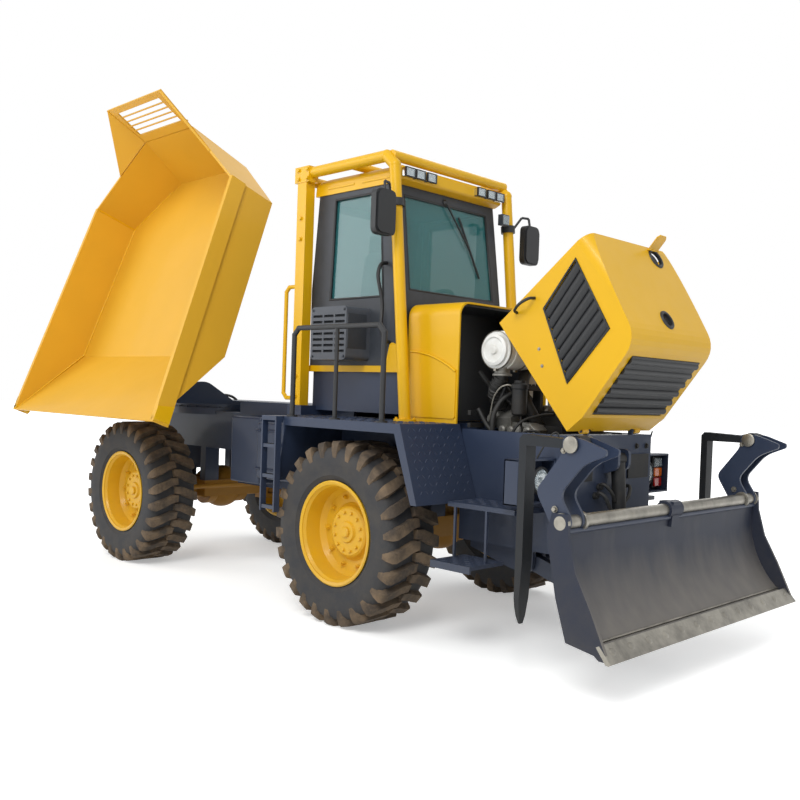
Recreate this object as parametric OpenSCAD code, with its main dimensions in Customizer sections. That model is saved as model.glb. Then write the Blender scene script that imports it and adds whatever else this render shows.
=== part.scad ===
// Swivel-skip site dumper with a cab, an open engine bonnet, a dozer blade and flip-over forks.
// Sizes are in millimetres. +X points to the blade, +Y away from the skip's lip, +Z up.
// The origin is on the ground, on the centre plane, midway between the axles.
// The cab, engine and blade count their x from the engine axle, the skip counts from its lip.

/* [Wheels] */
// Distance between the axles
wheelbase = 2740; // [2700:5:2780]
// Outer radius of a tyre, over the lugs
tyre_r = 592; // [580:1:600]
// Width of a tyre
tyre_w = 410; // [380:5:420]
// Number of lugs around a tyre
lugs = 26; // [22:1:28]
// Depth of the grooves between the lugs
lug_h = 36; // [24:1:44]
// Distance of a tyre's middle from the centre plane
wheel_y = 817; // [810:1:830]
// Radius of the rim where the tyre sits
rim_r = 327; // [315:1:335]
// Radius of the cover on a wheel's hub
hub_r = 165; // [156:1:172]
// Distance of a kingpin from the centre plane
kingpin_y = 560; // [550:1:565]

/* [Frame] */
// Half width of the frame between the wheels
rail_half = 320; // [300:5:330]
// Height of the frame's top at the skip end
rail_top = 1290; // [1280:1:1295]
// Height of the frame's underside at the skip end
rail_low = 970; // [950:5:990]
// Half width of the engine box
bay_half = 479; // [470:1:485]
// Height of the platform that carries the cab
deck_top = 1390; // [1380:1:1395]
// Thickness of the frame's plates
plate_t = 30; // [24:1:36]
// Outer edge of the fenders from the centre plane
fender_y = 1020; // [1000:1:1030]
// Height of the fender decks
fender_top = 1320; // [1310:1:1330]
// Thickness of the fender sheets
fender_t = 14; // [10:1:18]

/* [Cab] */
// Half width of the cab
cab_half = 520; // [505:1:530]
// Height of the cab's eaves
cab_top = 2915; // [2890:1:2930]
// Thickness of the cab's walls and pillars
cab_wall = 40; // [34:1:46]
// Thickness of the panes
glass_t = 8; // [6:1:10]
// Height of the roll frame's top tubes
rops_top = 3080; // [3065:1:3095]
// Distance of the roll frame's posts from the centre plane
rops_y = 590; // [582:1:600]
// Diameter of the roll frame's tubes
rops_d = 78; // [70:1:84]

/* [Engine] */
// Half width of the bonnet
bonnet_half = 462; // [450:1:468]
// Opening angle of the bonnet
bonnet_open = 50.5; // [45:0.5:52]
// Thickness of the bonnet and cowl sheets
sheet_t = 12; // [8:1:16]
// Radius of the bonnet's and cowl's long edges
hood_r = 90; // [70:1:110]
// Number of slats in a side grille of the bonnet
slats = 8; // [6:1:10]
// Radius of the air cleaner
cleaner_r = 115; // [100:1:125]

/* [Skip] */
// Half width of the skip at its lip
lip_half = 1204; // [1180:1:1210]
// Half width of the skip at its rear corners
skip_half = 1098; // [1080:1:1110]
// Length of the rim from the lip to the rear corners
rim_len = 2029; // [2000:1:2040]
// Depth of the floor under the rim
skip_depth = 430; // [410:1:440]
// Tip angle at which the skip stands
tip = 70.16; // [66:0.01:71]
// Thickness of the skip's plates
skip_t = 16; // [12:1:20]

/* [Blade] */
// Half width of the blade
blade_half = 1094; // [1085:1:1100]
// Radius of the blade's curve
blade_r = 580; // [570:1:590]
// Radius of the cross shaft on top of the blade
shaft_r = 35; // [30:1:37]
// Width of a fork
fork_w = 84; // [70:1:88]
// Thickness of a fork
fork_t = 45; // [38:1:46]
// Radius of the fork pins
fork_pin_r = 25; // [20:1:27]

/* [Hidden] */
// Colours
navy = "#232c42";
enamel = "#f0b400";
dark = "#2b2f36";
iron = "#3a3d42";
bright = "#c4c8cc";
pane = "#8fb0b5";
// Clearance between moving pieces, and at pins and sliding rods
gap = 6;
fit = 0.3;
// Axle places and height
xk = -wheelbase / 2;
xe = wheelbase / 2;
axle_z = tyre_r;
// Rings across a tyre: [share of the half width, share of the radius, shift along the tread in lug pitches]
tread_rings = [[-0.93, 0.93, -0.1], [-0.78, 1, 0], [-0.38, 1, 0.36], [0, 1, 0], [0.38, 1, 0.36], [0.78, 1, 0],
    [0.93, 0.93, -0.1]];
// Corners of one lug: [share of the pitch, share of the groove's depth]
lug_corners = [[0, 0], [0.56, 0], [0.78, 1]];
bulge_r = 0.8 * tyre_r;
bead_y = tyre_w / 2 - 38;
// Wheel disc's seat and hub cover's face, outward from the wheel's middle
disc_y = -20;
hub_face = 56;
hub_seat_r = 150;
// Frame: ends, waist and wheel arch, and axle pads
nose_x = xk - 680;
waist_x = xk + 720;
arch_x = xe - 590;
belly_z = 700;
pad_x = 180;
pad_half = 40;
pad_in = 180;
pad_z = 80;
// Engine box
bay_x0 = 610;
bay_x1 = 1390;
bay_low = 600;
pivot_ears = [230, 330];
// Steering: arm's length and kingpin's radius
steer_arm = 300;
kingpin_r = 26;
// Turntable
ring_r = 470;
ring_z = 1320;
turn_z = 1355;
turn_top = 1385;
ear_in = 335;
ear_t = 40;
// Skip pivot, cylinder base and rod eye, as [y, z], the eye in the lowered skip
tip_pivot = [-750, 1435];
lip_low = [-1164, 2005];
ram_base = [-460, 1460];
ram_eye = [450, 1500];
tip_pin_r = 35;
ram_pin_r = 20;
ram_r = 52;
rod_r = 30;
rail_in = 105;
lug_x = 300;
// Tip cylinder's eye at the tipped stand, its direction and its shut length
eye_d = ram_eye - tip_pivot;
ram_top = tip_pivot + [eye_d[0] * cos(tip) - eye_d[1] * sin(tip), eye_d[0] * sin(tip) + eye_d[1] * cos(tip)];
ram_v = unit(ram_top - ram_base);
ram_len = norm(ram_top - ram_base);
ram_shut = norm(ram_eye - ram_base);
// Skip outlines, [u along the rim, w above it]
ramp_u = 680;
foot_u = 2460;
back_u = 2556;
back_w = 103;
back_half = 380;
band_h = 135;
band_t = 22;
// Guard above the rear wall: top edge, wing's foot along the slanted rim, window
visor_u = 2638;
visor_w = 486;
visor_half = 446;
wing_share = 0.5;
window_half = 345;
window_low = 80;
window_high = 335;
window_bars = 4;
// Cab side outline, [x, z]
cab_low = 1640;
cab_side = [[-870, cab_low], [92, cab_low], [62, 2190], [-40, cab_top], [-815, cab_top], [-874, 2240]];
door_x0 = -730;
door_x1 = -100;
door_z0 = 1690;
door_z1 = 2860;
door_pin_y = cab_half + 16;
door_pin_r = 8;
door_pin_z = [1850, 2640];
win_z0 = 2157;
win_z1 = 2870;
side_window = [[-666, win_z0], [-112, win_z0], [-165, win_z1], [-636, win_z1]];
front_window = [[-440, 2200], [440, 2200], [430, cab_top - 70], [-430, cab_top - 70]];
rear_window = [[-400, 2190], [400, 2190], [390, 2830], [-390, 2830]];
// Roll frame: rear posts, front posts' foot and head
post_x = [-940, -840];
post_foot = [206, fender_top + 8];
post_head = [25, rops_top];
// Cowl's top
cowl_top = 2100;
// Bonnet outline when shut, [back from the hinge corner, up]
hinge = [1385, 1316];
hinge_pin_r = 9;
hinge_eye_r = 17;
hinge_y = 290;
hinge_arm = 32;
bonnet_len = 822;
bonnet_h = 785;
bonnet_nose = [132, 660];
bonnet_foot = 130;
nose_ease = 110;
grille_in = 388;
grille_z = [150, 555];
side_grille = [[744, 632], [292, 561], [222, 175], [665, 307]];
// Blade circle, [x, z], and heights
blade_c = [2394, 755];
blade_t = 20;
blade_top = 840;
blade_low = 262;
blade_z0 = 250;
shaft_c = [1801, 888];
fork_pin = [1835, 1277];
fork_back = 1494;
fork_tip_z = 321;
fork_y = 999;
arm_t = 18;
// Lift cylinder and push frame pivots, [x, z]
lift_pivot = [1030, 500];
lift_pivot_r = 24;
lift_base = [1445, 1150];
lift_eye = [1490, 500];
lift_pin_r = 18;
lift_rod_r = 22;
lift_v = unit(lift_eye - lift_base);
lift_len = norm(lift_eye - lift_base);

$fn = 48;

// Block between two corners
module blk(lo, hi) {
    translate(lo) cube(hi - lo);
}

// Plate with an [x, z] outline from y0 to y1
module plate_xz(pts, y0, y1) {
    translate([0, y1, 0]) rotate([90, 0, 0]) linear_extrude(y1 - y0) polygon(pts);
}

// Plate with a [y, z] outline from x0 to x1
module plate_yz(pts, x0, x1) {
    translate([x0, 0, 0]) rotate([90, 0, 90]) linear_extrude(x1 - x0) polygon(pts);
}

// Round bar along Y through [x, z]
module bar_y(c, r, y0, y1) {
    translate([c[0], y1, c[1]]) rotate([90, 0, 0]) cylinder(r = r, h = y1 - y0);
}

// Round bar along X through [y, z]
module bar_x(c, r, x0, x1) {
    translate([x0, c[0], c[1]]) rotate([0, 90, 0]) cylinder(r = r, h = x1 - x0);
}

// Round bar upward from z0 to z1 at [x, y]
module bar_z(c, r, z0, z1) {
    translate([c[0], c[1], z0]) cylinder(r = r, h = z1 - z0);
}

// Round bar between two points
module rod(a, b, r) {
    v = b - a;
    translate(a) rotate([0, acos(v[2] / norm(v)), atan2(v[1], v[0])]) cylinder(r = r, h = norm(v));
}

function unit(v) = v / norm(v);
// Path p with each inner corner cut back by c
function eased(p, c) = concat([p[0]], [for (i = [1 : 1 : len(p) - 2]) each [p[i] + unit(p[i - 1] - p[i]) * c,
    p[i] + unit(p[i + 1] - p[i]) * c]], [p[len(p) - 1]]);
// First two numbers of a point
function flat(p) = [p[0], p[1]];
// Curve from d before the corner b to d after it, on the way from a to c
function bend_at(a, b, c, d, n = 6) = d == 0 ? [b] : [for (k = [0 : n]) b + unit(a - b) * d * (1 - k / n) ^ 2
    + unit(c - b) * d * (k / n) ^ 2];
// Outline of corners [x, y, d], each rounded from d before it to d after it
function rounded(p) = [for (i = [0 : len(p) - 1]) each bend_at(flat(p[(i + len(p) - 1) % len(p)]), flat(p[i]),
    flat(p[(i + 1) % len(p)]), p[i][2])];

// Bent round tube through the points p, with a ball at each bend
module pipe(p, d, bend) {
    q = eased(p, bend);
    for (i = [0 : len(q) - 2])
        rod(q[i], q[i + 1], d / 2, $fn = 20);
    for (i = [1 : 1 : len(q) - 2])
        translate(q[i]) sphere(d = d * 1.05, $fn = 20);
}

// Both sides of the centre plane
module both() {
    children();
    mirror([0, 1, 0]) children();
}

// Place what counts its x from the engine axle
module front() {
    translate([xe, 0, 0]) children();
}

// Frame: rails, platform and turntable seat
module main_frame() {
    color(navy) {
        both() {
            blk([nose_x, rail_half - plate_t, rail_low], [waist_x, rail_half, rail_top]);
            blk([waist_x, rail_half - plate_t, belly_z], [arch_x, rail_half, deck_top]);
            blk([arch_x, rail_half - plate_t, rail_low], [xe + bay_x0, rail_half, fender_top]);
            for (x = [xk, xe], s = [-1, 1])
                blk([x + s * pad_x - pad_half, pad_in, axle_z + pad_z],
                    [x + s * pad_x + pad_half, rail_half, rail_low + plate_t]);
            front() blk([post_x[0] - 30, rail_half, deck_top - 70], [post_x[1] + 30, rops_y + 50, deck_top]);
        }
        blk([nose_x, -rail_half, rail_top - plate_t], [waist_x, rail_half, rail_top]);
        blk([nose_x, -rail_half, rail_low], [waist_x, rail_half, rail_low + plate_t]);
        blk([nose_x, -rail_half, belly_z], [nose_x + plate_t, rail_half, rail_top]);
        blk([waist_x, -rail_half, belly_z], [waist_x + plate_t, rail_half, deck_top]);
        blk([waist_x, -rail_half, belly_z], [arch_x, rail_half, belly_z + plate_t]);
        blk([waist_x, -rail_half, deck_top - plate_t], [arch_x, rail_half, deck_top]);
        front() {
            blk([-870, -cab_half + 20, deck_top - plate_t], [85, cab_half - 20, deck_top]);
            blk([85 - plate_t, -rail_half, rail_low], [85, rail_half, deck_top]);
        }
        translate([xk, 0, rail_top - plate_t]) cylinder(r = ring_r, h = ring_z - rail_top + plate_t);
    }
}

// Engine box ahead of the rails, with the bonnet's hinge pins and the push frame's pivot
module engine_box() {
    top = hinge[1] - 24;
    color(navy) front() {
        both() {
            blk([bay_x0, bay_half - plate_t, bay_low], [bay_x1, bay_half, top]);
            for (y = pivot_ears)
                plate_xz(rounded([[bay_x0, bay_low - 60, 0], [bay_x0, bay_low + plate_t, 0],
                    [bay_x0 + 500, bay_low + plate_t, 0], [lift_pivot[0] + 70, bay_low - 160, 60],
                    [lift_pivot[0] - 70, bay_low - 160, 60]]), y, y + plate_t);
            blk([bay_x1 - plate_t, hinge_y - 50, hinge[1] - 60], [bay_x1, hinge_y - 34, hinge[1] + 14]);
            bar_y(hinge, hinge_pin_r, hinge_y - 50, hinge_y + 34);
        }
        blk([bay_x0, -bay_half, bay_low], [bay_x0 + plate_t, bay_half, top]);
        blk([bay_x1 - plate_t, -bay_half, bay_low], [bay_x1, bay_half, top]);
        blk([bay_x0, -bay_half, bay_low], [bay_x1, bay_half, bay_low + plate_t]);
        for (s = [-1, 1])
            plate_xz(rounded([[bay_x1, lift_base[1] - 90, 0], [bay_x1, lift_base[1] + 60, 0],
                [lift_base[0] + 45, lift_base[1] + 60, 40], [lift_base[0] + 45, lift_base[1] - 60, 40]]),
                s * 60 - 12, s * 60 + 12);
        bar_y(lift_base, lift_pin_r, -60, 60);
        bar_y(lift_pivot, lift_pivot_r, -pivot_ears[1] - plate_t - 5, pivot_ears[1] + plate_t + 5);
    }
}

// Turntable with the ears that hold the skip
module turntable() {
    color(navy) {
        translate([xk, 0, ring_z + fit]) cylinder(r = ring_r - 20, h = turn_z - ring_z - fit);
        blk([xk - ear_in - ear_t, -630, turn_z], [xk + ear_in + ear_t, 430, turn_top]);
        for (s = [-1, 1])
            plate_yz(rounded([[-820, turn_z, 0], [-820, 1510, 60], [-700, 1515, 40], [-430, 1550, 60],
                [-150, turn_top, 30], [-150, turn_z, 0]]), xk + s * (ear_in + ear_t / 2) - ear_t / 2,
                xk + s * (ear_in + ear_t / 2) + ear_t / 2);
        bar_x(tip_pivot, tip_pin_r, xk - ear_in - ear_t - 30, xk + ear_in + ear_t + 30);
        for (s = [-1, 1])
            plate_yz(rounded([[ram_base[0] - 55, turn_z, 0], [ram_base[0] - 45, ram_base[1] + 45, 40],
                [ram_base[0] + 45, ram_base[1] + 45, 40], [ram_base[0] + 55, turn_z, 0]]),
                xk + s * 70 - 12, xk + s * 70 + 12);
        bar_x(ram_base, ram_pin_r, xk - 82, xk + 82);
    }
}

// Fender with its deck, slanted ends and edge flanges
module fender() {
    t = fender_t;
    lo = bay_half + gap;
    top = fender_top;
    plate_xz([[-591, 881], [-514, top], [590, top], [750, 850], [750 - t, 850], [590 - t, top - t], [-514 + t, top - t],
        [-591 + t, 881]], -fender_y, -lo);
    plate_xz([[-514, top], [590, top], [750, 850], [700, 850], [545, top - 60], [-500, top - 60], [-545, 1000],
        [-570, 1000]], -fender_y, -fender_y + t);
    blk([-514, -lo - t, rail_low], [590, -lo, top]);
}

module fender_near() {
    color(navy) front() fender();
}

module fender_far() {
    color(navy) front() mirror([0, 1, 0]) fender();
}

// Ladders on both sides: two flat rails with rungs, and a top step at the deck
module ladders() {
    color(dark) front() both() {
        for (x = [-680, -532])
            blk([x, -fender_y - 60, 673], [x + 14, -fender_y - 15, fender_top - 30]);
        for (z = [690, 900, 1105])
            blk([-666, -fender_y - 55, z], [-532, -fender_y - 20, z + 24]);
        blk([-680, -fender_y - 60, fender_top - 30], [-520, -fender_y + 220, fender_top]);
    }
}

// Steps beside the engine box: a shelf and a hanging foot plate with a turned-up edge
module steps() {
    color(navy) front() both() {
        blk([bay_x0 + 160, -770, 840], [bay_x0 + 660, -bay_half, 868]);
        for (x = [bay_x0 + 210, bay_x0 + 450])
            blk([x, -770, 540], [x + 14, -756, 840]);
        blk([bay_x0 + 190, -940, 520], [bay_x0 + 490, -640, 542]);
        blk([bay_x0 + 190, -940, 500], [bay_x0 + 490, -926, 542]);
    }
}

// Axle beam with its differential and the pads that the frame rests on
module beam(half) {
    bar_y([0, 0], 95, -half, half);
    sphere(r = 190);
    bar_y([0, 0], 150, -200, 200);
    for (s = [-1, 1])
        blk([s * pad_x - pad_half, -rail_half, -60], [s * pad_x + pad_half, rail_half, pad_z]);
    both() blk([-pad_x, pad_in, -60], [pad_x, rail_half, pad_z]);
}

module axle_skip() {
    color(enamel) translate([xk, 0, axle_z]) {
        beam(kingpin_y - 80);
        both() {
            bar_z([0, kingpin_y], kingpin_r, -120, 120);
            for (s = [-1, 1])
                blk([-75, kingpin_y - 120, s * 115 - 22], [75, kingpin_y + 40, s * 115 + 22]);
            blk([-75, kingpin_y - 120, -130], [75, kingpin_y - 80, 130]);
        }
    }
}

module axle_engine() {
    color(enamel) translate([xe, 0, axle_z]) {
        beam(wheel_y + disc_y);
        both() bar_y([0, 0], hub_seat_r, kingpin_y, wheel_y + disc_y);
    }
}

// Steering knuckle of the near wheel: kingpin block, spindle and arm
module knuckle() {
    seat = wheel_y + disc_y;
    translate([xk, 0, axle_z]) difference() {
        union() {
            bar_z([0, -kingpin_y], 60, -87, 87);
            bar_y([0, 0], 80, -seat, -kingpin_y);
            bar_y([0, 0], hub_seat_r, -seat, -seat + 60);
            blk([0, -kingpin_y - 20, -18], [steer_arm, -kingpin_y + 10, 18]);
            bar_z([steer_arm, -kingpin_y + 5], 38, -18, 18);
        }
        bar_z([0, -kingpin_y], kingpin_r + fit, -100, 100);
    }
}

module knuckle_near() {
    color(enamel) knuckle();
}

module knuckle_far() {
    color(enamel) mirror([0, 1, 0]) knuckle();
}

// Tie rod over the two knuckle arms
module tie_rod() {
    y = kingpin_y - 5;
    color(enamel) translate([xk + steer_arm, 0, axle_z + 18 + fit]) {
        both() translate([0, -y, 0]) cylinder(r = 34, h = 44);
        bar_y([0, 22], 20, -y, y);
    }
}

// Point at radius r and angle a round a wheel, y across it
function round_at(r, a, y) = [r * cos(a), y, r * sin(a)];
// Angle of a place along the tread, counted in lugs from the ground
function lug_angle(n) = 360 / lugs * n - 90;

// Tyre as rings of points joined by triangles, the wheel's middle at the origin
module tyre() {
    half = tyre_w / 2;
    bead = rim_r / cos(180 / lugs) + fit;
    n = len(lug_corners) * lugs;
    treads = [for (k = tread_rings, i = [0 : lugs - 1], c = lug_corners)
        round_at(k[1] * tyre_r - c[1] * lug_h, lug_angle(i + k[2] + c[0]), k[0] * half)];
    walls = [for (k = [[half, bulge_r], [bead_y, bead], [-bead_y, bead], [-half, bulge_r]], i = [0 : lugs - 1])
        round_at(k[1], lug_angle(i + 0.3), k[0])];
    last = (len(tread_rings) - 1) * n;
    base = len(treads);
    over = [for (k = [0 : len(tread_rings) - 2], i = [0 : n - 1]) let (a = k * n + i, b = k * n + (i + 1) % n)
        each [[a, b, b + n], [a, b + n, a + n]]];
    inward = [for (k = [0 : 2], i = [0 : lugs - 1]) let (a = base + k * lugs + i, b = base + k * lugs + (i + 1) % lugs)
        each [[a, b, b + lugs], [a, b + lugs, a + lugs]]];
    far = [for (i = [0 : lugs - 1]) let (a = base + i, b = base + (i + 1) % lugs, t = last + 3 * i)
        each [[t, t + 1, a], [t + 1, t + 2, a], [t + 2, last + (3 * i + 3) % n, a], [last + (3 * i + 3) % n, b, a]]];
    near = [for (i = [0 : lugs - 1]) let (a = base + 3 * lugs + i, b = base + 3 * lugs + (i + 1) % lugs, t = 3 * i)
        each [[a, t + 1, t], [a, t + 2, t + 1], [a, (t + 3) % n, t + 2], [a, b, (t + 3) % n]]];
    polyhedron(points = concat(treads, walls), faces = concat(over, inward, far, near));
}

// Dished rim with its hub cover, outer face to -Y
module rim() {
    w = tyre_w / 2;
    seat = disc_y + fit;
    rotate([90, 0, 0]) rotate_extrude() polygon([[0, seat], [rim_r - 45, seat], [rim_r - 28, seat - 14],
        [rim_r - 28, -w + 50], [rim_r - 14, -w + 30], [rim_r, -w + 30], [rim_r, w - 30], [rim_r - 14, w - 30],
        [rim_r - 28, w - 50], [rim_r - 40, seat + 70], [rim_r - 66, seat + 34], [hub_r + 26, seat + 30],
        [hub_r + 12, hub_face - 34], [hub_r, hub_face - 10], [hub_r - 14, hub_face], [72, hub_face], [64, hub_face + 14],
        [0, hub_face + 16]]);
}

// Places of the four wheels
module at_wheel(x, s) {
    translate([x, s * wheel_y, axle_z]) rotate([0, 0, s > 0 ? 180 : 0]) children();
}

module tyre_sn() {
    color("#23242a") at_wheel(xk, -1) tyre();
}

module tyre_sf() {
    color("#23242a") at_wheel(xk, 1) tyre();
}

module tyre_en() {
    color("#23242a") at_wheel(xe, -1) tyre();
}

module tyre_ef() {
    color("#23242a") at_wheel(xe, 1) tyre();
}

module rim_sn() {
    color(enamel) at_wheel(xk, -1) rim();
}

module rim_sf() {
    color(enamel) at_wheel(xk, 1) rim();
}

module rim_en() {
    color(enamel) at_wheel(xe, -1) rim();
}

module rim_ef() {
    color(enamel) at_wheel(xe, 1) rim();
}

// Cab on its base
module cab_base() {
    color(navy) front() difference() {
        blk([-850, -cab_half + 20, deck_top], [85, cab_half - 20, cab_low]);
        blk([-810, -cab_half + 60, deck_top + 20], [45, cab_half - 60, cab_low + 1]);
    }
}

module cab_shell() {
    w = cab_wall;
    color("#33373d") front() {
        difference() {
            plate_xz(cab_side, -cab_half, cab_half);
            plate_xz([[-870 + 1.5 * w, cab_low + w], [92 - 1.1 * w, cab_low + w], [62 - 1.05 * w, 2190],
                [-40 - 0.95 * w, cab_top - w], [-815 + 1.08 * w, cab_top - w], [-874 + 1.1 * w, 2240]],
                -cab_half + w, cab_half - w);
            plate_yz(front_window, -120, 130);
            plate_yz(rear_window, -920, -730);
            plate_xz(side_window, -cab_half - 1, -cab_half + w + 20);
            blk([door_x0, cab_half - w - 20, door_z0], [door_x1, cab_half + 1, door_z1]);
        }
        for (z = door_pin_z) {
            blk([door_x0 - 40, cab_half - 1, z - 30], [door_x0, cab_half + 30, z]);
            blk([door_x0 - 1, cab_half + fit, z - 30], [door_x0 + 5, cab_half + 30, z]);
            bar_z([door_x0, door_pin_y], door_pin_r, z, z + 40);
        }
    }
}

// Painted sill along the cab's foot, rising at the front corner
module cab_sill() {
    color(enamel) front() both() plate_xz(rounded([[-870, cab_low, 0], [91, cab_low, 0], [81, 1810, 30], [-20, 1850, 40],
        [-62, 1684, 40], [-870, 1684, 0]]), -cab_half - 8, -cab_half);
}

// Roof with a rounded nose for the lamps and rounded long edges
module cab_roof() {
    z = cab_top;
    color(enamel) front() intersection() {
        plate_xz(rounded([[-850, z, 0], [-25, z, 0], [30, z + 24, 20], [30, z + 96, 0], [10, z + 118, 18],
            [-730, z + 122, 60], [-840, z + 90, 40]]), -cab_half - 10, cab_half + 10);
        hood_yz(cab_half + 10, 60, z - 1, z + 123, -900, 100);
    }
}

// Panes, each let into its opening
module cab_glass() {
    t = glass_t;
    color(pane) front() {
        intersection() {
            plate_yz(front_window, -120, 130);
            plate_xz([[42, 2190], [42 + t, 2190], [-60 + t, cab_top], [-60, cab_top]], -cab_half, cab_half);
        }
        intersection() {
            plate_yz(rear_window, -920, -730);
            plate_xz([[-856, 2190], [-856 + t, 2190], [-804 + t, 2830], [-804, 2830]], -cab_half, cab_half);
        }
        plate_xz(side_window, -cab_half + 16, -cab_half + 16 + t);
    }
}

module seat() {
    color("#2b2b2e") front() {
        blk([-610, -180, cab_low + cab_wall], [-290, 180, 1860]);
        plate_xz(rounded([[-650, 1860, 20], [-210, 1860, 30], [-210, 1990, 50], [-650, 1975, 20]]), -250, 250);
        plate_xz(rounded([[-672, 1945, 10], [-570, 1950, 10], [-630, 2560, 40], [-725, 2560, 40]]), -230, 230);
    }
}

// Steering column with its wheel
module console() {
    color(dark) front() {
        plate_xz([[-130, cab_low + cab_wall], [20, cab_low + cab_wall], [0, 2130], [-80, 2110]], -140, 140);
        translate([-70, 0, 2090]) rotate([0, -40, 0]) {
            cylinder(r = 25, h = 90);
            translate([0, 0, 70]) rotate_extrude() translate([150, 0]) circle(r = 14);
            for (a = [30, 150, 270])
                rotate([0, 0, a]) blk([0, -14, 62], [150, 14, 78]);
        }
    }
}

// Door on the far side, with its pane
module door() {
    color("#33373d") front() {
        difference() {
            blk([door_x0 + gap, cab_half - 34, door_z0 + gap], [door_x1 - gap, cab_half, door_z1 - gap]);
            blk([door_x0 + 60, cab_half - 40, win_z0], [door_x1 - 60, cab_half + 1, door_z1 - 50]);
        }
        for (z = door_pin_z)
            difference() {
                union() {
                    bar_z([door_x0, door_pin_y], 14, z + fit, z + 38);
                    blk([door_x0, cab_half - 5, z + fit], [door_x0 + 70, cab_half + 20, z + 38]);
                }
                bar_z([door_x0, door_pin_y], door_pin_r + fit, z - 5, z + 60);
                blk([door_x0 - 20, cab_half - 30, z - 5], [door_x0 + gap + 1, cab_half, z + 60]);
            }
    }
}

module door_glass() {
    color(pane) front()
        blk([door_x0 + 60, cab_half - 20, win_z0], [door_x1 - 60, cab_half - 20 + glass_t, door_z1 - 50]);
}

// Roll frame: box posts at the rear, bent tubes to the front, bars across the top
module rops() {
    y = rops_y;
    d = rops_d;
    x = [xe + post_x[0], xe + post_x[1]];
    foot = [xe + post_foot[0], y, post_foot[1]];
    head = [xe + post_head[0], y, post_head[1]];
    color(enamel) {
        both() {
            blk([x[0], y - 40, deck_top], [x[1], y + 40, rops_top]);
            pipe([foot, head, [x[1], y, rops_top]], d, 70);
            bar_z([foot[0] + 1, y], 75, fender_top, fender_top + 14);
            blk([x[0] - 30, y - 44, rops_top - 70], [x[1] + 30, y + 44, rops_top + 44]);
        }
        bar_y([x[0] + 50, rops_top - 50], 36, -y + 40, y - 40);
        bar_y([xe - 420, rops_top], d / 2 - 8, -y, y);
        bar_y([xe, rops_top], d / 2 - 4, -y, y);
    }
}

// Guard hoop along the near deck
module guard_rail() {
    y = -fender_y + 30;
    x = [-465, -30, 405];
    top = 1912;
    color(dark) front() {
        pipe([[x[0], y, fender_top], [x[0], y, top], [x[2], y, top], [x[2], y, fender_top]], 34, 45);
        rod([x[1], y, fender_top], [x[1], y, top], 14);
        for (p = x)
            bar_z([p, y], 36, fender_top, fender_top + 10);
    }
}

// Grab rails on the roll frame's rear posts
module grab_rails() {
    x = post_x[0];
    color(enamel) front() both()
        pipe([[x, -rops_y, 2262], [x - 145, -rops_y, 2262], [x - 145, -rops_y, 1440], [x, -rops_y, 1440]], 30, 35);
}

// Louvred box on the near cab wall
module climate_box() {
    y = -cab_half - 220;
    color("#4a4e55") front() difference() {
        plate_xz(rounded([[-600, 1715, 35], [-230, 1715, 35], [-230, 2079, 35], [-600, 2079, 35]]), y, -cab_half);
        for (c = [0 : 2], i = [0 : 6])
            blk([-580 + c * 116, y - 1, 1765 + i * 40], [-480 + c * 116, y + 20, 1783 + i * 40]);
    }
}

// Mirrors on arms from the roll frame
module mirrors() {
    y = -rops_y;
    color(dark) front() both() {
        difference() {
            rod([61, y, 2730], [56, y, 2780], rops_d / 2 + 14);
            rod([62, y, 2720], [55, y, 2790], rops_d / 2 + fit);
        }
        pipe([[58, y - rops_d / 2 - 10, 2756], [100, y - 110, 2860], [120, y - 170, 2860], [130, y - 176, 2790]], 18, 8);
        plate_yz(rounded([[y - 270, 2510, 50], [y - 90, 2510, 50], [y - 90, 2802, 50], [y - 270, 2802, 50]]), 104, 150);
        plate_yz(rounded([[y - 258, 2522, 50], [y - 102, 2522, 50], [y - 102, 2790, 50], [y - 258, 2790, 50]]), 140, 162);
    }
}

// Work lamps on the roof's front edge, each with a recessed face
module roof_lamps() {
    z = [cab_top + 32, cab_top + 95];
    color("#dfe3e6") front() both() for (y = [265, 375, 475])
        difference() {
            plate_yz(rounded([[y - 46, z[0], 12], [y + 46, z[0], 12], [y + 46, z[1], 12], [y - 46, z[1], 12]]), 30, 70);
            blk([64, y - 38, z[0] + 8], [71, y + 38, z[1] - 8]);
        }
}

// Road lamps in guards beside the engine box: a round lamp and a block of signal lamps
module road_lamps() {
    x = bay_x1 - 160;
    y = [-829, -bay_half];
    z = [900, 1157];
    t = 18;
    color(dark) front() both() {
        difference() {
            blk([x, y[0], z[0]], [x + 100, y[1], z[1]]);
            blk([x + t, y[0] + t, z[0] + t], [x + 101, y[1] - t, z[1] - t]);
        }
        bar_x([y[0] + 102, (z[0] + z[1]) / 2], 72, x + t - 1, x + 80);
        bar_x([y[0] + 102, (z[0] + z[1]) / 2], 60, x + 80, x + 90);
        for (i = [0, 1])
            blk([x + t - 1, y[0] + 196, z[0] + 50 + i * 82], [x + 72, y[0] + 300, z[0] + 126 + i * 82]);
    }
}

// Outline of a hood seen from its end: flat sides, rounded top edges
module hood_yz(half, r, z0, z1, x0, x1) {
    translate([x0, 0, 0]) rotate([90, 0, 90]) linear_extrude(x1 - x0) union() {
        translate([-half, z0]) square([2 * half, z1 - z0 - r]);
        translate([-half + r, z0]) square([2 * half - 2 * r, z1 - z0]);
        for (s = [-1, 1])
            translate([s * (half - r), z1 - r]) circle(r = r);
    }
}

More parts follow.
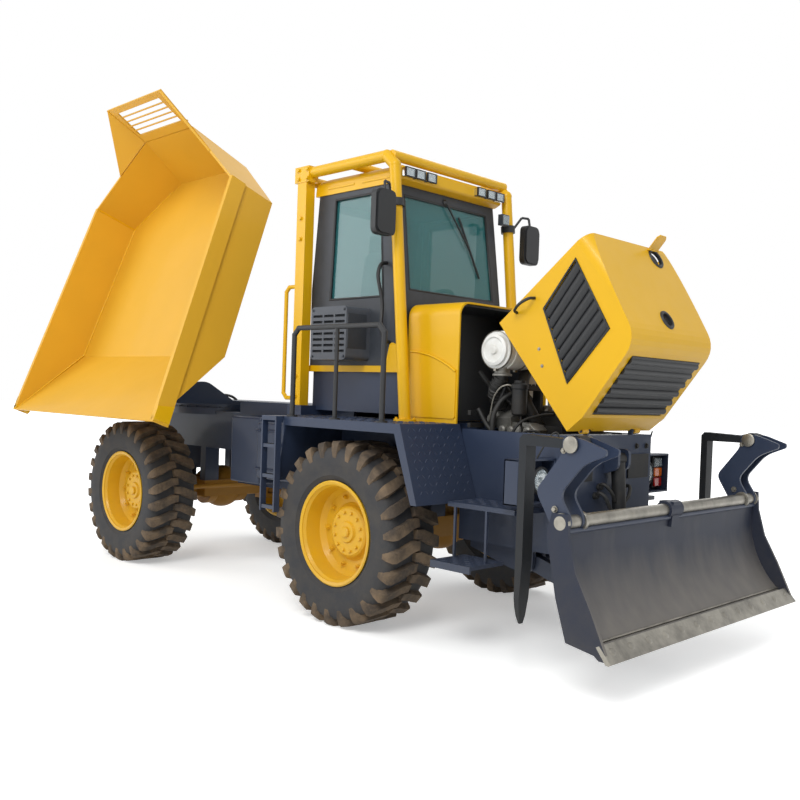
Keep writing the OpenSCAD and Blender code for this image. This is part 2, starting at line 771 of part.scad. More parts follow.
// Fixed cover between the cab and the bonnet, with side panels that stand proud
module cowl() {
    t = sheet_t;
    half = bonnet_half + 14;
    color(enamel) front() {
        difference() {
            hood_yz(half, hood_r, fender_top, cowl_top, 100, 552);
            hood_yz(half - t, hood_r - t, fender_top - 1, cowl_top - t, 100 + t, 553);
        }
        both() plate_xz(rounded([[126, fender_top + 30, 20], [540, fender_top + 30, 20], [540, 1665, 40], [340, 1752, 90],
            [126, 1790, 40]]), -half - 7, -half);
    }
}

// Place the bonnet's own outline, shut along -X, at its open stand
module bonnet_place() {
    front() translate([hinge[0], 0, hinge[1]]) rotate([0, bonnet_open, 0]) mirror([1, 0, 0]) children();
}

// Side outline of the bonnet, taken in by t, its open foot and rear end moved out by over
function bonnet_side(t, over) = rounded([[t, -over, 0], [bonnet_len + over, -over, 0],
    [bonnet_len + over, bonnet_h + over * 0.18 - t, 0], [bonnet_nose[0] + 0.83 * t, bonnet_nose[1] - 0.91 * t, nose_ease],
    [t, bonnet_foot, 0]]);

// Bonnet: a rounded hood, open below and behind, with grille openings and hinge eyes
module bonnet() {
    t = sheet_t;
    color(enamel) bonnet_place() difference() {
        intersection() {
            plate_xz(bonnet_side(0, 0), -bonnet_half, bonnet_half);
            hood_yz(bonnet_half, hood_r, -1, bonnet_h + 1, -1, bonnet_len + 13);
        }
        intersection() {
            plate_xz(bonnet_side(t, 30), -bonnet_half + t, bonnet_half - t);
            hood_yz(bonnet_half - t, hood_r - t, -31, bonnet_h + 1 - t, -21, bonnet_len + 39);
        }
        both() plate_xz(side_grille, -bonnet_half - 1, -bonnet_half + t + 1);
        blk([-20, -grille_in, grille_z[0]], [t + 140, grille_in, grille_z[1]]);
        bar_z([290, 0], 48, 600, 800);
        bar_z([745, 240], 55, 600, 800);
        both() bar_y([0, 0], hinge_eye_r + 3, hinge_y - 80, hinge_y + 40);
    }
    color(enamel) bonnet_place() both() difference() {
        union() {
            bar_y([0, 0], hinge_eye_r, hinge_y - 30, hinge_y + 30);
            blk([0, hinge_y - 30, 0], [hinge_arm, hinge_y + 30, 60]);
        }
        bar_y([0, 0], hinge_pin_r + fit, hinge_y - 40, hinge_y + 40);
    }
}

// Slatted panels in the bonnet's openings
module bonnet_grilles() {
    t = sheet_t;
    w = bonnet_half;
    q = side_grille;
    color("#26282c") bonnet_place() {
        both() {
            plate_xz(q, -w + t - 4, -w + t);
            intersection() {
                plate_xz(q, -w - 4, -w + t + 12);
                for (i = [0 : slats - 1]) let (f = (i + 0.5) / slats, a = q[3] + (q[0] - q[3]) * f,
                    b = q[2] + (q[1] - q[2]) * f)
                    rod([a[0], -w + t, a[1]], [b[0], -w + t, b[1]], 15);
            }
        }
        plate_xz([[9, grille_z[0]], [t + 3, grille_z[0]], [t + 105, grille_z[1]], [99, grille_z[1]]], -grille_in, grille_in);
        for (i = [0 : 5]) let (z = grille_z[0] + 35 + i * 67)
            bar_y([0.25 * (z - bonnet_foot) + 4, z], 22, -grille_in, grille_in);
    }
}

// Engine: block, head, covers, pulleys with a fan, filters and a manifold
module engine() {
    color(iron) front() {
        blk([690, -190, 760], [1130, 190, 1180]);
        blk([720, -150, bay_low + plate_t], [1100, 150, 760]);
        blk([700, -130, 1180], [1120, 130, 1330]);
        plate_xz(rounded([[715, 1330, 0], [1105, 1330, 0], [1105, 1420, 30], [715, 1420, 30]]), -95, 95);
        bar_x([0, 900], 225, 660, 700);
        for (p = [[0, 820, 95], [0, 1090, 70], [-235, 1105, 45]])
            bar_x([p[0], p[1]], p[2], 1110, 1165);
        bar_x([-235, 1105], 72, 960, 1122);
        bar_x([0, 1090], 40, 1160, 1192);
        for (a = [0 : 60 : 300])
            translate([1178, 0, 1090]) rotate([a, 0, 0]) blk([-5, -18, 37], [5, 18, 205]);
        for (x = [760, 860, 960, 1060])
            bar_y([x, 1255], 30, 110, 235);
        bar_x([240, 1250], 48, 722, 1098);
        for (x = [770, 900])
            bar_z([x, -250], 55, 880, 1095);
        blk([735, -236, 1080], [935, -180, 1120]);
        bar_x([60, 1290], 34, 1100, 1150);
    }
}

// Air cleaner across the bay on its stand, with a hose elbow
module air_cleaner() {
    c = [793, 1790];
    color("#d8dadc") front() {
        bar_y(c, cleaner_r, -400, 60);
        bar_y(c, cleaner_r - 18, -418, -400);
        for (y = [-330, -40])
            bar_y(c, cleaner_r + 8, y - 14, y + 14);
        blk([c[0] - 33, -90, 1420], [c[0] + 33, -20, c[1]]);
        pipe([[c[0], 40, c[1]], [c[0], 190, c[1] - 20], [c[0], 240, 1560], [c[0], 240, 1298 + fit]], 90, 70);
    }
}

// Radiator with end tanks, a filler and a fan shroud
module radiator() {
    x = [1230, 1320];
    color(dark) front() {
        blk([x[0] + 15, -390, bay_low + plate_t], [x[1] - 15, 390, 1290]);
        for (z = [bay_low + plate_t, 1210])
            blk([x[0], -400, z], [x[1], 400, z + 80]);
        both() blk([x[0], -400, bay_low + plate_t], [x[1], -370, 1290]);
        difference() {
            bar_x([0, 1000], 270, x[0] - 20, x[0] + 20);
            bar_x([0, 1000], 250, x[0] - 21, x[0] + 16);
        }
        bar_z([x[0] + 45, 250], 32, 1280, 1300);
    }
}

// Place the skip's lowered outline at its tipped stand
module skip_place() {
    translate([xk, tip_pivot[0], tip_pivot[1]]) rotate([tip, 0, 0])
        translate([0, lip_low[0] - tip_pivot[0], lip_low[1] - tip_pivot[1]]) children();
}

// Skip solid between a side outline [u, w] and a plan outline
module skip_body(side, lip, half, back, len1, len2) {
    intersection() {
        plate_yz(side, -lip - 50, lip + 50);
        translate([0, 0, -1000]) linear_extrude(2000) polygon([[-lip, 0], [-half, len1], [-back, len2],
            [back, len2], [half, len1], [lip, 0]]);
    }
}

// Skip: ramped floor, flat sides, slanted rear corners, bands along the rims and tubes at the lip's corners
module skip() {
    t = skip_t;
    d = skip_depth;
    color(enamel) skip_place() {
        difference() {
            skip_body([[0, -t], [ramp_u, -d], [foot_u, -d], [back_u, back_w], [rim_len, 0], [0, 0]],
                lip_half, skip_half, back_half, rim_len, back_u);
            translate([0, -1, 0]) skip_body([[-90, 58], [0, 0], [ramp_u + 6, -d + t], [foot_u - 8, -d + t],
                [back_u + 62 - t, back_w + 100], [0, 300]], lip_half - t, skip_half - t, back_half - t, rim_len - t / 2,
                back_u - t);
        }
        for (s = [0, 1])
            mirror([s, 0, 0]) translate([0, 0, -band_h]) linear_extrude(band_h) polygon([[-lip_half - band_t, 0],
                [-skip_half - band_t, rim_len], [-skip_half, rim_len], [-lip_half, 0]]);
    }
}

// Flat three-cornered plate, thickened to the side from which a, b, c run anticlockwise
module tri_plate(a, b, c, t) {
    n = unit(cross(b - a, c - a)) * t;
    polyhedron(points = [a, b, c, a + n, b + n, c + n],
        faces = [[0, 1, 2], [3, 5, 4], [0, 3, 4, 1], [1, 4, 5, 2], [2, 5, 3, 0]]);
}

// Guard above the rear wall: a middle panel with a barred window and two wings along the slanted rims
module visor() {
    t = skip_t;
    v = atan2(visor_u - back_u, visor_w - back_w);
    h = norm([visor_u - back_u, visor_w - back_w]);
    corner = [skip_half, rim_len, 0];
    inset = [-8, -6 * cos(v), 6 * sin(v)];
    foot = [back_half, back_u, back_w] + inset;
    head = [visor_half, visor_u, visor_w] + inset;
    color(enamel) skip_place() {
        translate([0, back_u, back_w]) rotate([-v, 0, 0]) {
            difference() {
                rotate([90, 0, 0]) linear_extrude(t)
                    polygon([[-back_half, 0], [back_half, 0], [visor_half, h], [-visor_half, h]]);
                blk([-window_half, -t - 1, window_low], [window_half, 1, window_high]);
            }
            for (i = [1 : window_bars])
                bar_x([-t / 2, window_low + (window_high - window_low) * i / (window_bars + 1)], 7,
                    -window_half - 2, window_half + 2);
            blk([-back_half, -t, window_low - 34], [back_half, 14, window_low - 18]);
        }
        tri_plate(head, foot, foot + (corner - foot) * wing_share, t);
        mirror([1, 0, 0]) tri_plate(head, foot, foot + (corner - foot) * wing_share, t);
    }
}

// Rails, pivot lugs and rod lugs under the floor
module skip_under() {
    d = skip_depth;
    p = tip_pivot - lip_low;
    e = ram_eye - lip_low;
    color(enamel) skip_place() for (s = [-1, 1]) {
        plate_yz([[ramp_u, -d], [1700, -d], [1700, -d - 60], [1600, -d - 105], [1010, -d - 105]],
            s * (rail_in + 40) - 40, s * (rail_in + 40) + 40);
        difference() {
            plate_yz(rounded([[p[0] - 75, p[1] - 60, 40], [p[0] + 75, p[1] - 60, 40], [ramp_u + 250, -d, 0], [ramp_u, -d, 0],
                [ramp_u - 300, -d + 180, 0]]), s * lug_x - 25, s * lug_x + 25);
            bar_x(p, tip_pin_r + fit, s * lug_x - 40, s * lug_x + 40);
            skip_body([[-90, 58], [0, -skip_t], [ramp_u, -d], [foot_u, -d], [foot_u, 300]], lip_half, skip_half,
                skip_half, rim_len, back_u);
        }
        plate_yz([[e[0] - 70, -d], [e[0] + 70, -d], [e[0] + 40, e[1] - 45], [e[0] - 40, e[1] - 45]], s * 78 - 14, s * 78 + 14);
    }
}

// Point on the tip cylinder's line
function on_ram(s) = [xk, ram_base[0] + ram_v[0] * s, ram_base[1] + ram_v[1] * s];

// Tip cylinder, from its base on the turntable to the eye under the skip
module tip_barrel() {
    color(iron) difference() {
        union() {
            bar_x(ram_base, 46, xk - 50, xk + 50);
            rod(on_ram(30), on_ram(ram_shut - 90), ram_r);
            rod(on_ram(ram_shut - 140), on_ram(ram_shut - 90), ram_r + 8);
        }
        bar_x(ram_base, ram_pin_r + fit, xk - 60, xk + 60);
        rod(on_ram(80), on_ram(ram_shut - 80), rod_r + fit);
    }
}

module tip_rod() {
    color(bright) {
        rod(on_ram(ram_len - ram_shut + 90), on_ram(ram_len - 20), rod_r);
        bar_x(ram_top, 40, xk - 55, xk + 55);
    }
}

// Flat bar along the blade's foot
module edge_bar() {
    plate_xz([[2034, 325], [2052, 335], [2120, 258], [2108, blade_z0], [2092, blade_z0]], -blade_half, blade_half);
}

// Curved blade with end plates, back ribs and a keeper for the cross shaft
module blade() {
    color(navy) front() difference() {
        union() {
            intersection() {
                difference() {
                    bar_y(blade_c, blade_r + blade_t, -blade_half, blade_half);
                    bar_y(blade_c, blade_r, -blade_half - 1, blade_half + 1);
                }
                blk([1730, -blade_half, blade_low], [2230, blade_half, blade_top]);
            }
            both() {
                plate_xz([[1725, 830], [1752, 935], [1846, 935], [1855, 820], [1902, 655], [1994, 490], [2100, 270],
                    [1860, 309], [1791, 518]], -blade_half, -blade_half + 20);
                for (y = [350, 720])
                    difference() {
                        plate_xz([[1752, 810], [1820, 810], [1990, 320], [1940, 300], [1790, 480]], -y - 8, -y + 8);
                        bar_y(blade_c, blade_r + blade_t / 2, -y - 9, -y + 9);
                    }
            }
            plate_xz([[1750, 790], [1752, 935], [1846, 935], [1835, 790]], -40, 40);
            bar_y(shaft_c, shaft_r + 16, -70, 70);
        }
        edge_bar();
        bar_y(shaft_c, shaft_r, -blade_half - 1, blade_half + 1);
    }
}

module cutting_edge() {
    color("#8a8c8e") front() edge_bar();
}

// Bent twin arms over the blade's ends, with the fork pins
module blade_arms() {
    out = rounded([[1780, 1310, 20], [1865, 1318, 60], [2030, 1262, 12], [2030, 1235, 12], [1900, 1180, 50],
        [1770, 1022, 50], [1835, 925, 20], [1845, 880, 16], [1820, 852, 16], [1740, 852, 16], [1720, 880, 16],
        [1626, 1033, 40], [1780, 1230, 40]]);
    half = fork_w / 2 + gap;
    color(navy) front() both() {
        for (y = [fork_y - half - arm_t, fork_y + half])
            difference() {
                plate_xz(out, y, y + arm_t);
                bar_y(shaft_c, shaft_r, y - 1, y + arm_t + 1);
            }
        bar_y(fork_pin, fork_pin_r, fork_y - half - 30, fork_y + half + 30);
        blk([1640, fork_y - half, 1020], [1680, fork_y + half, 1055]);
    }
}

module cross_shaft() {
    color("#a9aaa6") front() bar_y(shaft_c, shaft_r, -blade_half, blade_half);
}

// Push frame from the pivot under the engine box to the blade
module push_frame() {
    y = [pivot_ears[0] + plate_t + gap, pivot_ears[1] - gap];
    color(navy) front() difference() {
        union() {
            both() {
                plate_xz([[1000, 460], [1000, 540], [1080, 548], [1390, 465], [1600, 470], [1880, 500], [1930, 420],
                    [1690, 360], [1390, 350], [1060, 455]], y[0], y[1]);
                bar_y(lift_pivot, 52, y[0], y[1]);
            }
            blk([1460, -y[0], 415], [1520, y[0], 460]);
            blk([1690, -y[1], 400], [1760, y[1], 480]);
            for (s = [-1, 1])
                blk([lift_eye[0] - 35, s * 60 - 12, 440], [lift_eye[0] + 35, s * 60 + 12, lift_eye[1] + 40]);
        }
        bar_y(lift_pivot, lift_pivot_r + fit, -400, 400);
        bar_y(blade_c, blade_r + blade_t, -blade_half, blade_half);
    }
}

// Point on the lift cylinder's line
function on_lift(s) = [lift_base[0] + lift_v[0] * s, 0, lift_base[1] + lift_v[1] * s];

// Lift cylinder ahead of the engine box
module lift_barrel() {
    color(iron) front() difference() {
        union() {
            bar_y(lift_base, 38, -42, 42);
            rod(on_lift(20), on_lift(400), 42);
            rod(on_lift(360), on_lift(400), 47);
        }
        rod(on_lift(120), on_lift(401), lift_rod_r + fit);
        bar_y(lift_base, lift_pin_r + fit, -50, 50);
    }
}

module lift_rod() {
    color(bright) front() {
        rod(on_lift(300), on_lift(lift_len - 15), lift_rod_r);
        bar_y(lift_eye, 32, -42, 42);
    }
}

// Fork: eye on the pin, shank to the rear, tine hanging down with a narrowed tip
module fork() {
    p = fork_pin;
    x = fork_back;
    t = fork_t;
    tip_z = fork_tip_z;
    y = [fork_y - fork_w / 2, fork_y + fork_w / 2];
    difference() {
        union() {
            plate_xz([[p[0], p[1] - t / 2], [p[0], p[1] + t / 2], [x + 20, p[1] + t / 2 + 12], [x, p[1] + t / 2 - 10],
                [x, tip_z + 90], [x + 12, tip_z], [x + 24, tip_z], [x + t, tip_z + 330], [x + t, p[1] - t / 2]], y[0], y[1]);
            bar_y(p, 46, y[0], y[1]);
        }
        bar_y(p, fork_pin_r + fit, y[0] - 1, y[1] + 1);
        plate_yz([[y[0] - 1, tip_z - 1], [y[0] + 30, tip_z - 1], [y[0] + 14, tip_z + 40], [y[0] - 1, tip_z + 140]],
            x - 1, x + t + 1);
        plate_yz([[y[1] + 1, tip_z - 1], [y[1] + 1, tip_z + 140], [y[1] - 14, tip_z + 40], [y[1] - 30, tip_z - 1]],
            x - 1, x + t + 1);
    }
}

module fork_near() {
    color(navy) front() mirror([0, 1, 0]) fork();
}

module fork_far() {
    color(navy) front() fork();
}

// Tow eyes on the skip-end plate
module tow_eyes() {
    color(navy) both() difference() {
        plate_xz(rounded([[nose_x, 760, 0], [nose_x, 880, 0], [nose_x - 90, 880, 45], [nose_x - 90, 760, 45]]), 160, 190);
        bar_y([nose_x - 45, 820], 22, 150, 200);
    }
}

main_frame();
engine_box();
turntable();
fender_near();
fender_far();
ladders();
steps();
axle_skip();
axle_engine();
knuckle_near();
knuckle_far();
tie_rod();
tyre_sn();
tyre_sf();
tyre_en();
tyre_ef();
rim_sn();
rim_sf();
rim_en();
rim_ef();
cab_base();
cab_shell();
cab_sill();
cab_roof();
cab_glass();
seat();
console();
door();
door_glass();
rops();
guard_rail();
grab_rails();
climate_box();
mirrors();
roof_lamps();
road_lamps();
cowl();
bonnet();
bonnet_grilles();
engine();
air_cleaner();
radiator();
skip();
visor();
skip_under();
tip_barrel();
tip_rod();
blade();
cutting_edge();
blade_arms();
cross_shaft();
push_frame();
lift_barrel();
lift_rod();
fork_near();
fork_far();
tow_eyes();
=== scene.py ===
# %% [markdown]
# # A swivel-skip site dumper
# A site dumper carries earth in a skip at one end and its engine at the other. The machine comes in as
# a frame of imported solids, one object for each node, in place and in metres. This lesson dresses those
# solids: it sets the camera and the light, gives each piece the finish that the real machine has, and
# adds the small pieces that a workshop would bolt on last.

# %% Load the frame
import math
import bpy
import bmesh
from mathutils import Matrix, Vector


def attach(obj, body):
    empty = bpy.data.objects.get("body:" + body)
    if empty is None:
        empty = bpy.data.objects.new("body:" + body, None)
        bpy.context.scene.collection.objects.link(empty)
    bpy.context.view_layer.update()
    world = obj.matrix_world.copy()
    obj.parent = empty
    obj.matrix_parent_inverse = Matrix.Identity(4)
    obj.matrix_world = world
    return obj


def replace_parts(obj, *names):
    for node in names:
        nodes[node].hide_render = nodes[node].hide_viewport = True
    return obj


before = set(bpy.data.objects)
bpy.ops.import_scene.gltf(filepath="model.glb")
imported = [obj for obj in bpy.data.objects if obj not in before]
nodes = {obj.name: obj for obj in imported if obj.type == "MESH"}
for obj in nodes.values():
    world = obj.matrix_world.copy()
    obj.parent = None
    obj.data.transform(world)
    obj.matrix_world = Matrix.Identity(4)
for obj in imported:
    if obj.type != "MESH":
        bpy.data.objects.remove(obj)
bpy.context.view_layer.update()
scene = bpy.context.scene

# %% [markdown]
# ## Camera
# The photograph was taken from about eye height, a little to the blade's side of the near corner. The
# lens, place and tilt were found by lining up the tyres, the blade and the cab with their known sizes.
# A camera could be turned by three angles. Here its matrix is built from the directions right, up and
# backwards, because that is what lining up a photograph gives.

# %% Camera
# The photograph's width, focal length and optical centre are in pixels, the sensor is in millimetres.
PHOTO = 800
FOCAL = 911.22
CENTRE = (411.67, 416.33)
SENSOR = 36
right = Vector((0.71456, 0.69870, 0.03494))
down = Vector((0.04188, 0.00712, -0.99910))
ahead = Vector((-0.69832, 0.71538, -0.02417))
place = Vector((5.75676, -4.80993, 1.49687))

cam_data = bpy.data.cameras.new("photo_lens")
cam = bpy.data.objects.new("photo_camera", cam_data)
scene.collection.objects.link(cam)
turn = Matrix((right, -down, -ahead)).transposed().to_4x4()
cam.matrix_world = Matrix.Translation(place) @ turn
cam_data.sensor_width = SENSOR
cam_data.lens = SENSOR * FOCAL / PHOTO
cam_data.shift_x = (PHOTO / 2 - CENTRE[0]) / PHOTO
cam_data.shift_y = (CENTRE[1] - PHOTO / 2) / PHOTO
cam_data.clip_end = 200
scene.camera = cam
print("lens", round(cam_data.lens, 1), "mm")

# %% [markdown]
# ## Floor and light
# A pale floor and a white world stand in for a studio. A white floor alone would throw too much light
# up at the machine. So the floor glows only to the camera, in reflections and through glass, just enough
# to reach white, and only the shadow under the machine shows. To the rays that light the machine it is
# a plain pale floor.

# %% Colour and node helpers
def lin(code, alpha=1.0):
    """An sRGB hex colour as linear values."""
    parts = [int(code[i:i + 2], 16) / 255 for i in (1, 3, 5)]
    return tuple(c / 12.92 if c <= 0.04045 else ((c + 0.055) / 1.055) ** 2.4 for c in parts) + (alpha,)


def put(tree, kind, settings=None, links=None):
    """Adds one node, sets its properties and inputs, and links other nodes' outputs to it."""
    node = tree.nodes.new(kind)
    for key, value in (settings or {}).items():
        if isinstance(key, str) and hasattr(node, key):
            setattr(node, key, value)
        else:
            node.inputs[key].default_value = value
    for key, source in (links or {}).items():
        tree.links.new(source, node.inputs[key])
    return node


def backdrop_rays(tree):
    """1 for the rays that show the backdrop itself: from the camera, off a shine or through glass."""
    path = put(tree, "ShaderNodeLightPath")
    straight = put(tree, "ShaderNodeMath", {"operation": "MAXIMUM"},
                   {0: path.outputs["Is Camera Ray"], 1: path.outputs["Is Transmission Ray"]})
    return put(tree, "ShaderNodeMath", {"operation": "MAXIMUM"},
               {0: straight.outputs[0], 1: path.outputs["Is Glossy Ray"]}).outputs[0]


print("a mid grey of #808080 is", round(lin("#808080")[0], 3), "in linear light")

# %% Floor and world
# The floor's glow grows from GLOW_NEAR, where the shadow lies, to full strength, between two distances
# from the origin.
SIDE = 60
GLOW_FROM, GLOW_TO, GLOW_NEAR = 2.5, 7.0, 0.35
WHITE = (1, 1, 1, 1)

corners = [(-SIDE, -SIDE, 0), (SIDE, -SIDE, 0), (SIDE, SIDE, 0), (-SIDE, SIDE, 0)]
floor_mesh = bpy.data.meshes.new("studio_floor")
floor_mesh.from_pydata(corners, [], [(0, 1, 2, 3)])
floor = bpy.data.objects.new("studio_floor", floor_mesh)
scene.collection.objects.link(floor)
floor_mat = bpy.data.materials.new("studio_floor")
floor_mat.use_nodes = True
tree = floor_mat.node_tree
tree.nodes.clear()
base = put(tree, "ShaderNodeBsdfDiffuse", {"Color": lin("#F4F4F2")})
where = put(tree, "ShaderNodeNewGeometry")
reach = put(tree, "ShaderNodeVectorMath", {"operation": "LENGTH"}, {0: where.outputs["Position"]})
glow = put(tree, "ShaderNodeMapRange", {1: GLOW_FROM, 2: GLOW_TO, 3: GLOW_NEAR, 4: 1.0},
           {0: reach.outputs["Value"]})
share = put(tree, "ShaderNodeMath", {"operation": "MULTIPLY"},
            {0: glow.outputs[0], 1: backdrop_rays(tree)})
lift = put(tree, "ShaderNodeEmission", {"Color": WHITE}, {"Strength": share.outputs[0]})
both = put(tree, "ShaderNodeAddShader", {}, {0: base.outputs[0], 1: lift.outputs[0]})
put(tree, "ShaderNodeOutputMaterial", {}, {"Surface": both.outputs[0]})
floor_mesh.materials.append(floor_mat)

world = bpy.data.worlds.new("studio_world")
scene.world = world
world.use_nodes = True
tree = world.node_tree
tree.nodes.clear()
fill = put(tree, "ShaderNodeBackground", {"Color": (0.95, 0.97, 1.0, 1), "Strength": 0.62})
seen = put(tree, "ShaderNodeBackground", {"Color": WHITE, "Strength": 1.0})
mix = put(tree, "ShaderNodeMixShader", {},
          {0: backdrop_rays(tree), 1: fill.outputs[0], 2: seen.outputs[0]})
put(tree, "ShaderNodeOutputWorld", {}, {"Surface": mix.outputs[0]})
print("floor of", 2 * SIDE, "m and a white world")

# %% [markdown]
# The photograph has soft shadows and one bright side, the near front. Small lamps would draw hard
# shadows, so each lamp is a wide area: a strong key, a weaker one from the skip's end and one from behind.

# %% Lamps
# Each lamp has a name, a place, a width in metres and a power in watts, and looks at AIM.
AIM = Vector((0.4, -0.2, 1.3))
LAMPS = [
    ("key", (6.0, -8.5, 9.0), 5.0, 820),
    ("side", (-6.5, -7.0, 5.0), 5.0, 260),
    ("back", (-2.0, 8.0, 7.0), 6.0, 250),
]
for name, spot, size, watts in LAMPS:
    data = bpy.data.lights.new(name, "AREA")
    data.size = size
    data.energy = watts
    lamp = bpy.data.objects.new(name, data)
    scene.collection.objects.link(lamp)
    aim = (AIM - Vector(spot)).to_track_quat("-Z", "Y").to_matrix().to_4x4()
    lamp.matrix_world = Matrix.Translation(spot) @ aim
scene.view_settings.view_transform = "Standard"
print("lit by", len(LAMPS), "soft lamps")

# %% [markdown]
# ## Finishes
# Site machines are sprayed in thick two-pack enamel over steel. The yellow and the dark blue differ only
# in colour: both are glossy, a little uneven from the spray gun, and dusty low down. A picture could be
# wrapped on to give this, but noise in the shader needs no unwrapping and fits every piece. The blade's
# enamel is rubbed to grey steel towards its foot, so the recipe takes a height below which paint is gone.

# %% Enamel
# Sizes of the patterns in millimetres: colour drift, blotches of dust, orange peel, scratches.
# Orange peel is about 4 mm across and is drawn twice as coarse, so that it shows.
DRIFT_MM, BLOTCH_MM, PEEL_MM = 625, 111.1, 8.33
SCRATCH_MM = (111.1, 111.1, 400)
# Dust thins out between two heights in metres, and bare steel gives way to paint over a band.
DUST_LOW, DUST_TOP, DUST_SHARE = 0.1, 1.3, 0.55
WORN_BAND = 0.45


def rubbed(tree, geometry, height, worn, paint):
    """Mixes bare steel into the paint below the height worn."""
    # Scratches run up and down, so the noise is squeezed across the blade and drawn out in height.
    comb = put(tree, "ShaderNodeVectorMath", {"operation": "MULTIPLY", 1: [1000 / mm for mm in SCRATCH_MM]},
               {0: geometry.outputs["Position"]})
    streak = put(tree, "ShaderNodeTexNoise", {"Scale": 1.0, "Detail": 6.0}, {"Vector": comb.outputs[0]})
    soft = put(tree, "ShaderNodeMath", {"operation": "MULTIPLY_ADD", 1: 0.6, 2: 0.2},
               {0: streak.outputs[0]})
    edge = put(tree, "ShaderNodeMapRange", {1: worn, 2: worn - WORN_BAND, 3: -0.5, 4: 0.6}, {0: height})
    bare = put(tree, "ShaderNodeMath", {"operation": "ADD", "use_clamp": True},
               {0: edge.outputs[0], 1: soft.outputs[0]})
    # Only the hollow front face, which looks along +X, meets the soil.
    way = put(tree, "ShaderNodeSeparateXYZ", {}, {0: geometry.outputs["Normal"]})
    faces = put(tree, "ShaderNodeMapRange", {1: 0.15, 2: 0.4, 3: 0.0, 4: 0.85}, {0: way.outputs["X"]})
    thin = put(tree, "ShaderNodeMath", {"operation": "MULTIPLY"}, {0: bare.outputs[0], 1: faces.outputs[0]})
    return put(tree, "ShaderNodeMix", {"data_type": "RGBA", 7: lin("#77726B")},
               {0: thin.outputs[0], 6: paint.outputs[2]})


def enamel(name, code, dust_code, rough, coat, worn=None):
    """Sprayed enamel: orange peel, a soft colour drift, dust near the ground, bare steel below worn."""
    mat = bpy.data.materials.new(name)
    mat.use_nodes = True
    tree = mat.node_tree
    bsdf = tree.nodes["Principled BSDF"]
    geometry = put(tree, "ShaderNodeNewGeometry")
    where = geometry.outputs["Position"]
    height = put(tree, "ShaderNodeSeparateXYZ", {}, {0: where}).outputs["Z"]
    drift = put(tree, "ShaderNodeTexNoise", {"Scale": 1000 / DRIFT_MM, "Detail": 3.0}, {"Vector": where})
    darker = tuple(c * 0.84 for c in lin(code)[:3]) + (1,)
    tint = put(tree, "ShaderNodeMix", {"data_type": "RGBA", 6: lin(code), 7: darker}, {0: drift.outputs[0]})
    low = put(tree, "ShaderNodeMapRange", {1: DUST_LOW, 2: DUST_TOP, 3: DUST_SHARE, 4: 0.0}, {0: height})
    grit = put(tree, "ShaderNodeTexNoise", {"Scale": 1000 / BLOTCH_MM, "Detail": 6.0, "Roughness": 0.7},
               {"Vector": where})
    dust = put(tree, "ShaderNodeMath", {"operation": "MULTIPLY"}, {0: low.outputs[0], 1: grit.outputs[0]})
    colour = put(tree, "ShaderNodeMix", {"data_type": "RGBA", 7: lin(dust_code)},
                 {0: dust.outputs[0], 6: tint.outputs[2]})
    if worn:
        colour = rubbed(tree, geometry, height, worn, colour)
    tree.links.new(colour.outputs[2], bsdf.inputs["Base Color"])
    gloss = put(tree, "ShaderNodeMapRange", {3: rough, 4: rough + 0.18}, {0: grit.outputs[0]})
    tree.links.new(gloss.outputs[0], bsdf.inputs["Roughness"])
    peel = put(tree, "ShaderNodeTexNoise", {"Scale": 1000 / PEEL_MM, "Detail": 2.0}, {"Vector": where})
    bump = put(tree, "ShaderNodeBump", {"Strength": 0.04, "Distance": 0.002}, {"Height": peel.outputs[0]})
    tree.links.new(bump.outputs[0], bsdf.inputs["Normal"])
    bsdf.inputs["Specular IOR Level"].default_value = 0.25 if worn else 0.35
    bsdf.inputs["Coat Weight"].default_value = coat
    bsdf.inputs["Coat Roughness"].default_value = 0.12
    return mat


# The body's yellow is the cleanest, the skip's is chalky from loads, the axles' is brown with soil.
yellow = enamel("yellow_enamel", "#E4B000", "#A98A58", 0.36, 0.12)
skip_paint = enamel("skip_enamel", "#E0AB2A", "#B4935C", 0.46, 0.12)
axle_paint = enamel("axle_enamel", "#A8771F", "#6A4A22", 0.5, 0.05)
# The frame's blue has a soft sheen, the blade's is rubbed dull, and the forks are almost black.
navy = enamel("navy_enamel", "#27334A", "#55524C", 0.4, 0.15)
blade_paint = enamel("blade_enamel", "#182338", "#5D574D", 0.45, 0.05, worn=0.72)
fork_paint = enamel("fork_enamel", "#12171D", "#3C3934", 0.5, 0.03)
print("enamels", [mat.name for mat in (yellow, skip_paint, axle_paint, navy, blade_paint, fork_paint)])

# %% [markdown]
# Rubber is matt and never quite black: carbon black with a film of brown site dust in its hollows. The
# plastics of the cab are moulded with a fine grain, and bare steel shows where soil and pins have rubbed.
# All of these are one matt recipe with two colours and a grain, so one function makes them.

# %% Rubber, plastic, steel and iron
# The film of dust or wear lies in patches of this size. The two colours meet between two noise values.
# The grains below are 5 to 12 mm wide. Real ones are finer, too fine to show from the camera's place.
FILM_MM = 142.9
FILM_FROM, FILM_TO = 0.38, 0.68


